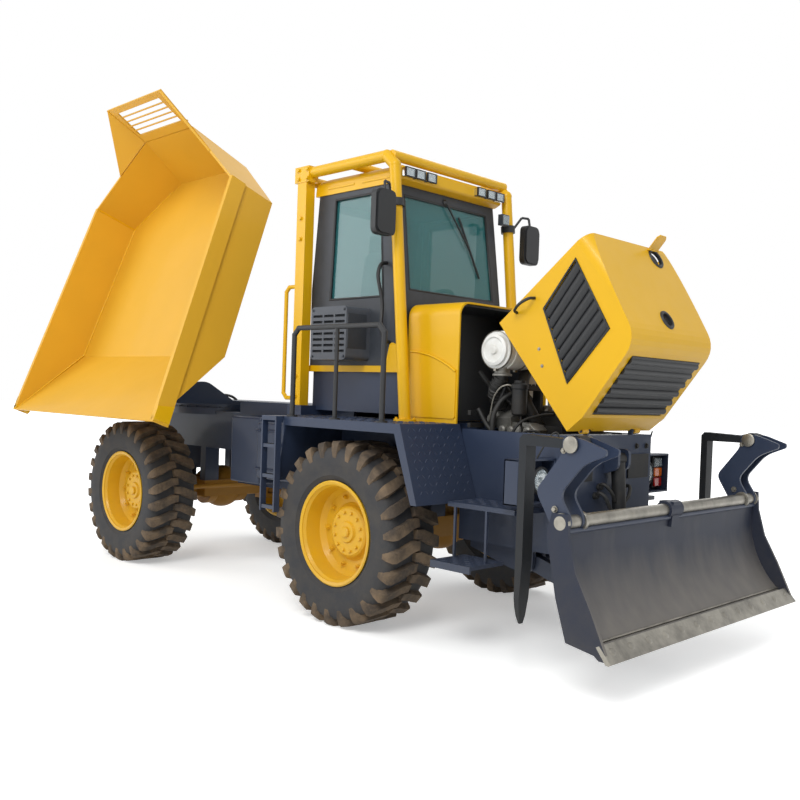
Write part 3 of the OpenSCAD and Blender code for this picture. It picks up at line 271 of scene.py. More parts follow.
def grainy(name, code, film_code, rough, grain_mm, depth_mm, metallic=0.0, spread=0.16):
    """A matt solid: two colours drifting into each other, and a grain of a real size."""
    mat = bpy.data.materials.new(name)
    mat.use_nodes = True
    tree = mat.node_tree
    bsdf = tree.nodes["Principled BSDF"]
    where = put(tree, "ShaderNodeNewGeometry").outputs["Position"]
    film = put(tree, "ShaderNodeTexNoise", {"Scale": 1000 / FILM_MM, "Detail": 7.0, "Roughness": 0.65},
               {"Vector": where})
    share = put(tree, "ShaderNodeMapRange", {1: FILM_FROM, 2: FILM_TO}, {0: film.outputs[0]})
    colour = put(tree, "ShaderNodeMix", {"data_type": "RGBA", 6: lin(code), 7: lin(film_code)},
                 {0: share.outputs[0]})
    tree.links.new(colour.outputs[2], bsdf.inputs["Base Color"])
    gloss = put(tree, "ShaderNodeMapRange", {3: rough, 4: rough + spread}, {0: film.outputs[0]})
    tree.links.new(gloss.outputs[0], bsdf.inputs["Roughness"])
    grain = put(tree, "ShaderNodeTexNoise", {"Scale": 1000 / grain_mm, "Detail": 3.0}, {"Vector": where})
    bump = put(tree, "ShaderNodeBump", {"Strength": 0.25, "Distance": depth_mm / 1000},
               {"Height": grain.outputs[0]})
    tree.links.new(bump.outputs[0], bsdf.inputs["Normal"])
    bsdf.inputs["Metallic"].default_value = metallic
    return mat


# Moulded rubber: matt and grey-black on the walls, brown with soil on the lugs.
rubber = grainy("tyre_rubber", "#2B2C2F", "#3E3B38", 0.72, 9.0, 1.2)
tread = grainy("dusty_tread", "#40372E", "#77644E", 0.8, 9.0, 1.2)
# Moulded ABS: an even satin grey, a little lighter on the climate box.
plastic = grainy("moulded_plastic", "#2E3238", "#383C43", 0.5, 6.0, 0.4)
grey_plastic = grainy("grey_plastic", "#42464D", "#4C5057", 0.5, 6.0, 0.4)
# Black trim and hoses: nearly black, with a soft shine along their edges.
black_trim = grainy("black_trim", "#131518", "#1B1D20", 0.45, 6.0, 0.3)
hose_rubber = grainy("hose_rubber", "#161616", "#262522", 0.55, 5.0, 0.3)
# Steel rubbed bright: a grey metal with a broken shine.
steel = grainy("rubbed_steel", "#9A968C", "#75726B", 0.34, 12.0, 0.5, metallic=0.85)
# Cast iron is dark and oily, cast aluminium pale grey and dull.
iron = grainy("engine_iron", "#15171A", "#2B2926", 0.5, 10.0, 0.8, metallic=0.3)
alloy = grainy("cast_alloy", "#8E8D88", "#6C6A64", 0.45, 7.0, 0.5, metallic=0.6)
# Embossed vinyl is soft and dark, and the air cleaner's enamel is a clean off-white.
vinyl = grainy("seat_vinyl", "#1E2024", "#282A2F", 0.55, 5.0, 0.5)
pale = grainy("pale_enamel", "#E4E5E2", "#CFCDC6", 0.4, 8.0, 0.3)
print("grained finishes end with", pale.name)

# %% [markdown]
# The cab's panes are thin tinted sheets. Solid glass would bend and darken the view through two faces,
# so a pane only lets part of the light straight through and keeps its shine.

# %% Glass and lenses
GLASS_IOR = 1.52


def pane(name, code, alpha, rough=0.02):
    """Thin glass: light passes straight through and only the surface shines."""
    mat = bpy.data.materials.new(name)
    mat.use_nodes = True
    bsdf = mat.node_tree.nodes["Principled BSDF"]
    bsdf.inputs["Base Color"].default_value = lin(code)
    bsdf.inputs["Roughness"].default_value = rough
    bsdf.inputs["IOR"].default_value = GLASS_IOR
    bsdf.inputs["Alpha"].default_value = alpha
    bsdf.inputs["Specular IOR Level"].default_value = 0.6
    return mat


# Float glass with a green tint, moulded clear, amber and red lenses, and the silvering of a mirror.
glass = pane("tinted_glass", "#36787A", 0.55)
clear_lens = pane("clear_lens", "#C9D6DA", 0.35, 0.08)
amber_lens = pane("amber_lens", "#E06A10", 0.9, 0.12)
red_lens = pane("red_lens", "#B31A14", 0.9, 0.12)
silvered = grainy("silvered", "#D4D8DA", "#C2C6C9", 0.12, 6.0, 0.05, metallic=1.0, spread=0.05)
print("materials", len(bpy.data.materials))

# %% [markdown]
# Each solid now takes its finish. Pieces that are modelled again later, such as the tyres and the seat,
# are painted too, so that the frame alone already reads as the machine.

# %% Paint the solids
FINISH = {
    skip_paint: "skip visor",
    yellow: "skip_under bonnet cowl cab_roof cab_sill rops grab_rails rim_sn rim_sf rim_en rim_ef",
    axle_paint: "axle_skip axle_engine knuckle_near knuckle_far tie_rod",
    navy: "main_frame engine_box turntable fender_near fender_far ladders steps cab_base blade_arms "
          "push_frame tow_eyes",
    fork_paint: "fork_near fork_far",
    blade_paint: "blade",
    rubber: "tyre_sn tyre_sf tyre_en tyre_ef",
    plastic: "cab_shell door console",
    grey_plastic: "climate_box",
    black_trim: "guard_rail mirrors bonnet_grilles road_lamps",
    steel: "cross_shaft cutting_edge tip_rod lift_rod",
    iron: "engine tip_barrel lift_barrel radiator",
    vinyl: "seat",
    pale: "air_cleaner",
    silvered: "roof_lamps",
    glass: "cab_glass door_glass",
}
for mat, names in FINISH.items():
    for n in names.split():
        nodes[n].data.materials.clear()
        nodes[n].data.materials.append(mat)
missing = set(nodes) - set(" ".join(FINISH.values()).split())
print("painted", len(nodes) - len(missing), "left", sorted(missing))

# %% [markdown]
# The part's record keeps its finishes in named slots.

# %% [markdown]
# ## Small helpers for added pieces
# Every added piece is a mesh built from a few simple moves: a prism pushed out of an outline, a bar
# between two points, a profile turned round an axis, and a tube along a line. Blender's own primitives
# could be scaled and joined, but these moves take their places straight from the machine's frame. Each
# piece then rides one body, so it moves with that body's joints.

# %% Mesh helpers
AXIS_X, AXIS_Y, AXIS_Z = (1, 0, 0), (0, 1, 0), (0, 0, 1)


def finish_piece(name, bm, mat, body, bevel=0.0, angle=35):
    """Turns a bmesh into an object that rides a body; a small bevel softens its edges."""
    bmesh.ops.recalc_face_normals(bm, faces=bm.faces)
    mesh = bpy.data.meshes.new(name)
    bm.to_mesh(mesh)
    bm.free()
    mesh.materials.append(mat)
    obj = bpy.data.objects.new(name, mesh)
    scene.collection.objects.link(obj)
    if bevel:
        soft = obj.modifiers.new("soft_edges", "BEVEL")
        soft.width = bevel
        soft.segments = 2
        soft.limit_method = "ANGLE"
    mesh.shade_smooth()
    mesh.set_sharp_from_angle(angle=math.radians(angle))
    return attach(obj, body)


def slab(bm, outline, push):
    """A prism: the outline's points, and the same points pushed along a vector."""
    lower = [bm.verts.new(Vector(p)) for p in outline]
    upper = [bm.verts.new(Vector(p) + Vector(push)) for p in outline]
    bm.faces.new(lower)
    bm.faces.new(upper)
    for i in range(len(lower)):
        j = (i + 1) % len(lower)
        bm.faces.new((lower[i], lower[j], upper[j], upper[i]))


def block(bm, lo, hi):
    """A box between two corners."""
    (x, y, z), (a, b, c) = lo, hi
    slab(bm, [(x, y, z), (a, y, z), (a, b, z), (x, b, z)], (0, 0, c - z))


def across(axis):
    """Two directions square to an axis and to each other."""
    axis = Vector(axis).normalized()
    side = axis.cross(Vector(AXIS_Z) if abs(axis.z) < 0.9 else Vector(AXIS_X)).normalized()
    return side, axis.cross(side)


def turned(bm, base, axis, profile, steps=24):
    """A profile of (radius, distance along the axis), turned round the axis; radius 0 closes an end."""
    base, axis = Vector(base), Vector(axis).normalized()
    side, up = across(axis)
    rings = []
    for r, h in profile:
        middle = base + axis * h
        spin = [2 * math.pi * k / steps for k in range(1 if r == 0 else steps)]
        rings.append([bm.verts.new(middle + (side * math.cos(a) + up * math.sin(a)) * r) for a in spin])
    for lower, upper in zip(rings, rings[1:]):
        for k in range(steps):
            a, b = lower[k % len(lower)], lower[(k + 1) % len(lower)]
            c, d = upper[(k + 1) % len(upper)], upper[k % len(upper)]
            corners = list(dict.fromkeys((a, b, c, d)))
            if len(corners) > 2:
                bm.faces.new(corners)


def bar(bm, a, b, r, steps=12):
    """A round bar between two points, with flat ends."""
    long = (Vector(b) - Vector(a)).length
    turned(bm, a, Vector(b) - Vector(a), [(0, 0), (r, 0), (r, long), (0, long)], steps)


def bolt(bm, base, axis, r, high):
    """A hexagon head with a chamfered top on a round washer."""
    washer = [(0, 0), (r * 1.5, 0), (r * 1.5, high * 0.2), (r * 1.1, high * 0.22)]
    head = [(r * 1.1, high * 0.2), (r * 1.1, high * 0.85), (r * 0.9, high), (0, high)]
    turned(bm, base, axis, washer, 14)
    turned(bm, base, axis, head, 6)


def tube(name, points, r, mat, body, closed=False, smooth=True):
    """A bent tube, hose or rubber seal: a curve with a round section."""
    curve = bpy.data.curves.new(name, "CURVE")
    curve.dimensions = "3D"
    curve.bevel_depth = r
    curve.bevel_resolution = 3
    curve.use_fill_caps = True
    line = curve.splines.new("BEZIER" if smooth else "POLY")
    if smooth:
        line.bezier_points.add(len(points) - 1)
        for knot, p in zip(line.bezier_points, points):
            knot.co = p
            knot.handle_left_type = knot.handle_right_type = "AUTO"
    else:
        line.points.add(len(points) - 1)
        for knot, p in zip(line.points, points):
            knot.co = (*p, 1)
    line.use_cyclic_u = closed
    curve.materials.append(mat)
    obj = bpy.data.objects.new(name, curve)
    scene.collection.objects.link(obj)
    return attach(obj, body)


print("helpers ready")

# %% [markdown]
# The bonnet stands open and the skip stands tipped and turned. Their fittings are laid out on the shut
# bonnet and the lowered skip, where lengths are easy to read, and two functions turn them into place.

# %% Places on the tilted pieces
# Axle places along X, the hubs' height and half the track. The near side is the one towards -Y.
XK, XE, HUB_Z, TRACK = -1.370, 1.370, 0.592, 0.817
SIDES = ((-1, "near"), (1, "far"))
OPEN, TIP = math.radians(50.5), math.radians(70.16)
HINGE_X, HINGE_Z = 2.755, 1.316
TIP_PIN_Y, TIP_PIN_Z = -0.750, 1.435
LIP_TO_PIN, RIM_ABOVE_PIN = 0.414, 0.570


def on_bonnet(back, y, up):
    """A point of the shut bonnet, back from the hinge and up, at the bonnet's open stand."""
    return Vector((HINGE_X - back * math.cos(OPEN) + up * math.sin(OPEN), y,
                   HINGE_Z + back * math.sin(OPEN) + up * math.cos(OPEN)))


def on_skip(x, along, up):
    """A point of the lowered skip, along its rim from the lip and above it, at the tipped stand."""
    y, z = along - LIP_TO_PIN, up + RIM_ABOVE_PIN
    return Vector((XK + x, TIP_PIN_Y + y * math.cos(TIP) - z * math.sin(TIP),
                   TIP_PIN_Z + y * math.sin(TIP) + z * math.cos(TIP)))


print("bonnet nose at", [round(c, 3) for c in on_bonnet(0.13, 0, 0.66)])

# %% [markdown]
# ## Wheels
# A site tyre is a smooth carcass with tall rubber lugs. Each lug starts low on the shoulder, climbs onto
# the tread and bends towards the middle, and the two sides are set half a pitch apart. A bump on a smooth
# tyre would leave its outline round, so the lugs are real: a row of four-cornered sections joined by
# faces, wide at the foot and narrower at the top.

# %% Tyres
LUGS, TYRE_HALF = 26, 0.205
# Half of the carcass's section: radius and half width.
CARCASS = [
    (0.331, 0.160), (0.345, 0.176), (0.368, 0.187), (0.372, 0.193), (0.380, 0.193), (0.430, 0.202),
    (0.480, 0.204), (0.520, 0.198), (0.545, 0.178), (0.553, 0.140), (0.555, 0.070),
]
# A lug's sections from shoulder to middle: share of the half width, radius, turn and half breadth in lugs.
LUG = [
    (0.995, 0.488, -0.13, 0.15), (1.0, 0.530, -0.10, 0.21), (0.955, 0.574, -0.06, 0.26),
    (0.86, 0.590, -0.01, 0.28), (0.52, 0.592, 0.17, 0.27), (0.22, 0.592, 0.36, 0.25),
    (-0.06, 0.591, 0.40, 0.22),
]
LUG_DEEP, TOP_WIDE, FOOT_WIDE, FOOT_IN = 0.048, 0.86, 1.12, 0.93


def round_point(r, turn_share, y):
    """A point round a wheel, its angle counted in lugs."""
    a = 2 * math.pi * turn_share / LUGS
    return Vector((r * math.sin(a), y, -r * math.cos(a)))


def lug_section(share, r, middle, wide):
    """The four corners of a lug's section: foot, top, top and foot."""
    y = share * TYRE_HALF
    foot = [round_point(r - LUG_DEEP, middle + s * wide * FOOT_WIDE, y * FOOT_IN) for s in (-1, 1)]
    top = [round_point(r, middle + s * wide * TOP_WIDE, y) for s in (-1, 1)]
    return foot[0], top[0], top[1], foot[1]


def tyre_mesh():
    """One tyre about the origin, its axle along Y; the lugs take the second material."""
    bm = bmesh.new()
    turned(bm, (0, 0, 0), AXIS_Y, [(r, -y) for r, y in CARCASS] + CARCASS[::-1], 104)
    for side in (-1, 1):
        for i in range(LUGS):
            start = i + (0.5 if side > 0 else 0.0)
            rows = []
            for share, r, shift, wide in LUG:
                rows.append([bm.verts.new(p) for p in lug_section(side * share, r, start + shift, wide)])
            for low, high in zip(rows, rows[1:]):
                for k in range(3):
                    bm.faces.new((low[k], low[k + 1], high[k + 1], high[k])).material_index = 1
            bm.faces.new(rows[0]).material_index = 1
            bm.faces.new(rows[-1]).material_index = 1
    return bm


WHEELS = [("sn", XK, -1), ("sf", XK, 1), ("en", XE, -1), ("ef", XE, 1)]
for tag, x, side in WHEELS:
    bm = tyre_mesh()
    bmesh.ops.transform(bm, matrix=Matrix.Translation((x, side * TRACK, HUB_Z)), verts=bm.verts)
    tyre = finish_piece("lugged_tyre_" + tag, bm, rubber, "wheel_" + tag, angle=40)
    tyre.data.materials.append(tread)
    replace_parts(tyre, "tyre_" + tag)
print("lugs on each tyre", 2 * LUGS)

# %% [markdown]
# The rims are bolted through the disc, and the hub's cover has its own ring of smaller bolts and a plug.
# The outward direction is away from the centre plane, so one loop serves both sides.

# %% Wheel nuts and hub bolts
NUTS, NUT_CIRCLE = 10, 0.228
HUB_BOLTS, HUB_CIRCLE = 12, 0.126
PLUG = [(0.034, 0), (0.034, 0.012), (0.028, 0.018), (0, 0.018)]
FLANGE = [(0.312, 0), (0.334, 0), (0.338, 0.010), (0.330, 0.015), (0.312, 0.008), (0.312, 0)]
VALVE = (Vector((0.20, 0, 0.20)), Vector((0.205, 0, 0.205)))

for tag, x, side in WHEELS:
    out = Vector((0, side, 0))
    middle = Vector((x, side * TRACK, HUB_Z))
    bm = bmesh.new()
    for k in range(NUTS):
        a = 2 * math.pi * k / NUTS
        spot = middle + Vector((math.cos(a), 0, math.sin(a))) * NUT_CIRCLE
        bolt(bm, spot + out * 0.010, out, 0.013, 0.026)
        bar(bm, spot + out * 0.03, spot + out * 0.046, 0.008, 8)
    for k in range(HUB_BOLTS):
        a = 2 * math.pi * (k + 0.5) / HUB_BOLTS
        spot = middle + Vector((math.cos(a), 0, math.sin(a))) * HUB_CIRCLE
        bolt(bm, spot + out * 0.055, out, 0.009, 0.014)
    turned(bm, middle + out * 0.070, out, PLUG, 20)
    finish_piece("wheel_nuts_" + tag, bm, yellow, "wheel_" + tag)
    bm = bmesh.new()
    turned(bm, middle + out * 0.172, out, FLANGE, 72)
    finish_piece("rim_flange_" + tag, bm, yellow, "wheel_" + tag)
    bm = bmesh.new()
    bar(bm, middle + VALVE[0] + out * 0.10, middle + VALVE[1] + out * 0.15, 0.006, 8)
    finish_piece("valve_" + tag, bm, black_trim, "wheel_" + tag)
print("wheels dressed:", len(WHEELS))

# %% [markdown]
# ## Checker plate
# Decks, slanted plates and treads are rolled checker plate, with raised lens-shaped bars that lie by
# turns along and across. A bump map would do from afar, but the decks are seen at a low angle, so the
# bars are real. One function lays them over any flat patch from a corner and two edges.

# %% Checker plate
RIDGE_HALF, RIDGE_WIDE, RIDGE_HIGH, RIDGE_PITCH = 0.019, 0.0055, 0.003, 0.048


def checker(bm, corner, edge_u, edge_v):
    """Raised bars over the patch, each a low ridge with four sloping sides."""
    corner, edge_u, edge_v = Vector(corner), Vector(edge_u), Vector(edge_v)
    u, v = edge_u.normalized(), edge_v.normalized()
    n = u.cross(v).normalized()
    if n.z < 0:
        n = -n
    cols, rows = int(edge_u.length / RIDGE_PITCH), int(edge_v.length / RIDGE_PITCH)
    for i in range(cols):
        for j in range(rows):
            mid = corner + u * RIDGE_PITCH * (i + 0.5) + v * RIDGE_PITCH * (j + 0.5)
            a, b = ((u + v), (u - v)) if (i + j) % 2 else ((u - v), (u + v))
            a, b = a.normalized() * RIDGE_HALF, b.normalized() * RIDGE_WIDE
            foot = [bm.verts.new(p) for p in (mid - a, mid - b, mid + a, mid + b)]
            ridge = [bm.verts.new(mid + a * s + n * RIDGE_HIGH) for s in (-0.6, 0.6)]
            bm.faces.new((foot[0], foot[1], ridge[0]))
            bm.faces.new((foot[1], foot[2], ridge[1], ridge[0]))
            bm.faces.new((foot[2], foot[3], ridge[1]))
            bm.faces.new((foot[3], foot[0], ridge[0], ridge[1]))


# The deck over the wheel, the slanted plate before it, the step and the front deck. Each patch has an
# inner corner, an edge along the machine and a width outwards.
PATCHES = [
    ((0.87, 0.50, 1.320), (1.07, 0, 0), 0.51),
    ((1.965, 0.50, 1.306), (0.145, 0, -0.43), 0.51),
    ((2.175, 0.645, 0.542), (0.29, 0, 0), 0.29),
    ((2.145, 0.485, 0.868), (0.49, 0, 0), 0.28),
]
for side, tag in SIDES:
    bm = bmesh.new()
    for (x, y, z), edge, wide in PATCHES:
        checker(bm, (x, side * y, z), edge, (0, side * wide, 0))
    finish_piece("checker_" + tag, bm, navy, "chassis")
print("checker plate on", len(PATCHES), "patches a side")

# %% [markdown]
# ## Cab
# Rubber seals hold the panes. A seal could be swept as a mesh, but a closed curve with a round section
# is quicker and stays easy to move. The windscreen and the rear window lean, so their points come from
# the panes' own slopes.

# %% Seals and wiper
SCREEN_X, SCREEN_LEAN = 1.420, 102 / 725
REAR_X, REAR_LEAN = 0.519, 0.081
PANE_FOOT = 2.190
# Outlines of the panes: (y, z) for the front and rear ones, (x, z) for the near side and the door.
SCREEN = [(-0.44, 2.2), (0.44, 2.2), (0.43, 2.845), (-0.43, 2.845)]
REAR_WINDOW = [(-0.40, 2.19), (0.40, 2.19), (0.39, 2.83), (-0.39, 2.83)]
SIDE_WINDOW = [(0.704, 2.157), (1.258, 2.157), (1.205, 2.870), (0.734, 2.870)]
DOOR_WINDOW = [(0.70, 2.157), (1.21, 2.157), (1.21, 2.81), (0.70, 2.81)]


def on_screen(y, z, proud=0.0):
    """A point on the windscreen's outer face."""
    return Vector((SCREEN_X - (z - PANE_FOOT) * SCREEN_LEAN + proud, y, z))


SEALS = [
    ("seal_screen", [on_screen(y, z, 0.003) for y, z in SCREEN], 0.013, "chassis"),
    ("seal_side", [(x, -0.515, z) for x, z in SIDE_WINDOW], 0.012, "chassis"),
    ("seal_rear", [(REAR_X + (z - PANE_FOOT) * REAR_LEAN, y, z) for y, z in REAR_WINDOW], 0.012, "chassis"),
    ("seal_door", [(x, 0.519, z) for x, z in DOOR_WINDOW], 0.012, "door"),
]
for name, line, r, body in SEALS:
    tube(name, line, r, black_trim, body, closed=True, smooth=False)

bm = bmesh.new()
turned(bm, on_screen(-0.02, 2.862), (1, 0, 0.15),
       [(0, 0.0), (0.024, 0.0), (0.024, 0.02), (0.014, 0.032), (0, 0.034)], 16)
bar(bm, on_screen(-0.02, 2.86, 0.026), on_screen(0.20, 2.56, 0.022), 0.007, 8)
bar(bm, on_screen(0.12, 2.78, 0.012), on_screen(0.30, 2.36, 0.012), 0.008, 8)
lip = ((0.118, 2.78), (0.122, 2.785), (0.302, 2.365), (0.298, 2.36))
slab(bm, [on_screen(y, z, 0.003) for y, z in lip], (0.012, 0, 0))
finish_piece("wiper", bm, black_trim, "chassis")
print("seals", len(SEALS))

# %% [markdown]
# A bent tube on the near front post helps the driver up, and the door opens by a lever on the far side.

# %% Grab handle and door handle
POST_HANDLE = [(1.335, -0.522, 1.84), (1.338, -0.575, 1.86), (1.312, -0.578, 2.10), (1.285, -0.578, 2.36),
               (1.285, -0.522, 2.38)]
tube("pillar_handle", POST_HANDLE, 0.013, black_trim, "chassis")
bm = bmesh.new()
block(bm, (1.15, 0.521, 2.03), (1.235, 0.529, 2.11))
bar(bm, (1.16, 0.529, 2.07), (1.16, 0.556, 2.07), 0.009)
bar(bm, (1.155, 0.556, 2.07), (1.23, 0.556, 2.07), 0.011)
finish_piece("door_handle", bm, black_trim, "door", bevel=0.002)
print("handle of", len(POST_HANDLE), "points")

# %% [markdown]
# A mirror's glass is a silvered plate in its housing. The climate box breathes through three columns of
# slots, which its solid already has. A slanted vane stands in each slot, and one loop sets them all.

# %% Mirror faces, climate box vanes and its edge trim
MIRROR_X = 1.473
MIRROR = [(0.70, 2.535), (0.84, 2.535), (0.845, 2.56), (0.845, 2.76), (0.83, 2.78), (0.71, 2.78),
          (0.695, 2.76), (0.695, 2.56)]
VANE = [(-0.741, 0.001), (-0.738, -0.001), (-0.722, 0.012), (-0.724, 0.015)]
VANE_COLUMNS, VANE_ROWS, VANE_LONG = 3, 7, 0.1

for side, tag in SIDES:
    bm = bmesh.new()
    slab(bm, [(MIRROR_X, side * y, z) for y, z in MIRROR], (-0.003, 0, 0))
    finish_piece("mirror_face_" + tag, bm, silvered, "chassis")
bm = bmesh.new()
for column in range(VANE_COLUMNS):
    for row in range(VANE_ROWS):
        x, z = 0.790 + column * 0.116, 1.765 + row * 0.040
        slab(bm, [(x, y, z + rise) for y, rise in VANE], (VANE_LONG, 0, 0))
finish_piece("climate_louvres", bm, black_trim, "chassis")
bm = bmesh.new()
for x, z in ((0.792, 1.738), (1.118, 1.738), (0.792, 2.056), (1.118, 2.056)):
    bolt(bm, (x, -0.740, z), (0, -1, 0), 0.007, 0.008)
trim_edge = [(1.139, -0.735, 1.79), (1.145, -0.73, 1.80), (1.145, -0.56, 1.80), (1.139, -0.555, 1.79)]
slab(bm, trim_edge, (0, 0, 0.23))
finish_piece("climate_bolts", bm, plastic, "chassis")
print("vanes", VANE_COLUMNS * VANE_ROWS)

# %% [markdown]
# The roof's lamps sit in its nose, three to each side, behind clear lenses in black frames. A square
# lamp hangs on a bracket from the far front post.

# %% Roof lamps and roof mouldings
LAMP_PLACES = (-0.475, -0.375, -0.265, 0.265, 0.375, 0.475)
# The four bars of a lamp's frame: two corners each, as (offset from the lamp's middle, height).
LAMP_FRAME = [
    ((-0.047, 2.946), (0.047, 2.954)), ((-0.047, 3.003), (0.047, 3.011)),
    ((-0.047, 2.954), (-0.038, 3.003)), ((0.038, 2.954), (0.047, 3.003)),
]
bm = bmesh.new()
trim = bmesh.new()
for y in LAMP_PLACES:
    block(bm, (1.4355, y - 0.037, 2.956), (1.439, y + 0.037, 3.001))
    for (y0, z0), (y1, z1) in LAMP_FRAME:
        block(trim, (1.428, y + y0, z0), (1.442, y + y1, z1))
finish_piece("roof_lenses", bm, clear_lens, "chassis")
finish_piece("roof_lamp_frames", trim, black_trim, "chassis", bevel=0.002)
bm = bmesh.new()
for x0, x1 in ((0.66, 0.94), (1.02, 1.32)):
    block(bm, (x0, -0.535, 2.950), (x1, -0.528, 2.966))
    block(bm, (x0, 0.528, 2.950), (x1, 0.535, 2.966))
for x in (0.62, 0.85, 1.08):
    block(bm, (x, -0.42, 3.034), (x + 0.10, 0.42, 3.042))
finish_piece("roof_mouldings", bm, yellow, "chassis", bevel=0.003)
bm = bmesh.new()
bar(bm, (1.413, 0.552, 2.80), (1.46, 0.50, 2.80), 0.010)
block(bm, (1.455, 0.435, 2.765), (1.50, 0.515, 2.845))
finish_piece("bracket_lamp", bm, plastic, "chassis", bevel=0.006)
bm = bmesh.new()
block(bm, (1.5005, 0.443, 2.773), (1.5045, 0.507, 2.837))
finish_piece("bracket_lens", bm, clear_lens, "chassis")
print("roof lamps", len(LAMP_PLACES))

# %% [markdown]
# The roll frame's joints are bolted. The bolts show as hexagon heads on its outer faces, and each post
# of the guard hoop stands on a foot with four bolts of its own.

# %% Roll frame bolts and gussets
FOOT_X, FOOT_Y, FOOT_CIRCLE = 1.577, 0.59, 0.058
bm = bmesh.new()
for side in (-1, 1):
    for z in (3.035, 3.10):
        for x in (0.445, 0.545):
            bolt(bm, (x, side * 0.634, z), (0, side, 0), 0.012, 0.014)
    for z in (1.45, 1.60, 2.6, 2.75):
        bolt(bm, (0.48, side * 0.630, z), (0, side, 0), 0.012, 0.014)
    for k in range(4):
        a = math.pi * (0.25 + 0.5 * k)
        x, y = FOOT_X + FOOT_CIRCLE * math.cos(a), FOOT_Y + FOOT_CIRCLE * math.sin(a)
        bolt(bm, (x, side * y, 1.334), AXIS_Z, 0.008, 0.012)
    gusset = [(x, side * 0.594, z) for x, z in ((1.32, 3.05), (1.385, 3.05), (1.398, 2.96))]
    slab(bm, gusset, (0, side * -0.008, 0))
finish_piece("roll_frame_bolts", bm, yellow, "chassis")
print("roll frame bolted")

# %% [markdown]
# The driver's seat is foam under vinyl. A box with a wide bevel would look hard, so each cushion starts
# as a grid, swells towards its middle and turns in at the rim. The pedestal is a pleated boot under the
# seat's plate.

# %% Seat
def cushion(name, centre, size, lean, crown):
    """A crowned pad: a flat box whose top rises towards the middle, with full, round edges."""
    bm = bmesh.new()
    steps = 14
    grid = {}
    for face in (-1, 1):
        for i in range(steps + 1):
            for j in range(steps + 1):
                u, v = 2 * i / steps - 1, 2 * j / steps - 1
                edge = max(abs(u), abs(v))
                swell = (1 - edge ** 6) ** 0.5
                # Shallow pleats run along the top, and the four corners are drawn in.
                pleat = 0.12 * math.cos(v * 9) * (1 - edge) if face > 0 else 0
                round_in = 1 - 0.10 * (abs(u * v)) ** 3
                p = Vector((u * size[0] / 2 * round_in, v * size[1] / 2 * round_in,
                            face * size[2] / 2 * swell * (1 + crown * (1 - u * u) * (1 - v * v) - pleat)))
                key = (i, j, 0 if edge == 1 else face)
                if key not in grid:
                    grid[key] = bm.verts.new(Matrix.Rotation(lean, 3, "Y") @ p + Vector(centre))
    for face in (-1, 1):
        for i in range(steps):
            for j in range(steps):
                ring = []
                for a, b in ((i, j), (i + 1, j), (i + 1, j + 1), (i, j + 1)):
                    rim = a in (0, steps) or b in (0, steps)
                    ring.append(grid[(a, b, 0 if rim else face)])
                bm.faces.new(ring)
    return finish_piece(name, bm, vinyl, "chassis", angle=60)


cushion("seat_cushion", (0.940, 0, 1.925), (0.44, 0.50, 0.13), math.radians(-3), 0.25)
cushion("seat_back", (0.722, 0, 2.265), (0.58, 0.46, 0.11), math.radians(-84), 0.25)
cushion("head_rest", (0.690, 0, 2.610), (0.17, 0.26, 0.08), math.radians(-86), 0.3)
PLEATS, PLEAT_PITCH = 6, 0.030
bm = bmesh.new()
boot = [(0, 1.68), (0.14, 1.68)]
for k in range(PLEATS):
    boot += [(0.185, 1.69 + k * PLEAT_PITCH), (0.165, 1.705 + k * PLEAT_PITCH)]
turned(bm, (0.92, 0, 0), AXIS_Z, boot + [(0.19, 1.865), (0, 1.865)], 28)
block(bm, (0.73, -0.23, 1.848), (1.14, 0.23, 1.872))
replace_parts(finish_piece("seat_pedestal", bm, black_trim, "chassis"), "seat")
print("seat with", PLEATS, "pleats in its boot")

# %% [markdown]
# The driver works two levers on a side console, behind a low dash. Their knobs are turned from one
# profile, as on a lathe.

# %% Levers and dash
KNOB = [(0, 0), (0.018, 0.004), (0.026, 0.03), (0.02, 0.055), (0, 0.064)]
bm = bmesh.new()
for y, lean in ((-0.33, 0.03), (-0.39, -0.02)):
    bar(bm, (1.02, y, 1.68), (1.04 + lean, y, 2.06), 0.009)
    turned(bm, (1.04 + lean, y, 2.05), AXIS_Z, KNOB, 14)
block(bm, (0.88, -0.45, 1.68), (1.12, -0.28, 1.92))
dash = [(1.30, -0.30, 2.12), (1.385, -0.30, 2.10), (1.385, -0.30, 2.19), (1.32, -0.30, 2.20)]
slab(bm, dash, (0, 0.60, 0))
finish_piece("levers", bm, black_trim, "chassis", bevel=0.006)
print("cab fitted out")

# %% [markdown]
# ## Bonnet
# The bonnet stands open on its front hinge. It carries pull handles, bolt heads, rolled rims round its
# two filler holes and a small hinged flap. All of it is laid out on the shut bonnet and turned with it.

# %% Bonnet handles, grille rims and bolts
BONNET_Y, GRILLE_RIM_Y = 0.462, 0.463
# A handle's points: back from the hinge, out from the side, up. The rim's points: back and up.
PULL = [(0.781, 0.0, 0.138), (0.780, 0.045, 0.160), (0.768, 0.048, 0.270), (0.763, 0.0, 0.291)]
GRILLE_RIM = [(0.748, 0.637), (0.288, 0.565), (0.218, 0.170), (0.669, 0.303)]
for side, tag in SIDES:
    y = side * BONNET_Y
    pull = [on_bonnet(back, y + side * out, up) for back, out, up in PULL]
    tube("bonnet_handle_" + tag, pull, 0.009, black_trim, "bonnet")
    rim = [on_bonnet(back, side * GRILLE_RIM_Y, up) for back, up in GRILLE_RIM]
    tube("grille_rim_" + tag, rim, 0.008, black_trim, "bonnet", closed=True, smooth=False)
    bm = bmesh.new()
    for back, up in ((0.503, 0.133), (0.409, 0.090)):
        bolt(bm, on_bonnet(back, y, up), (0, side, 0), 0.007, 0.007)
    finish_piece("bonnet_bolts_" + tag, bm, steel, "bonnet")
print("handles and rims on both sides")

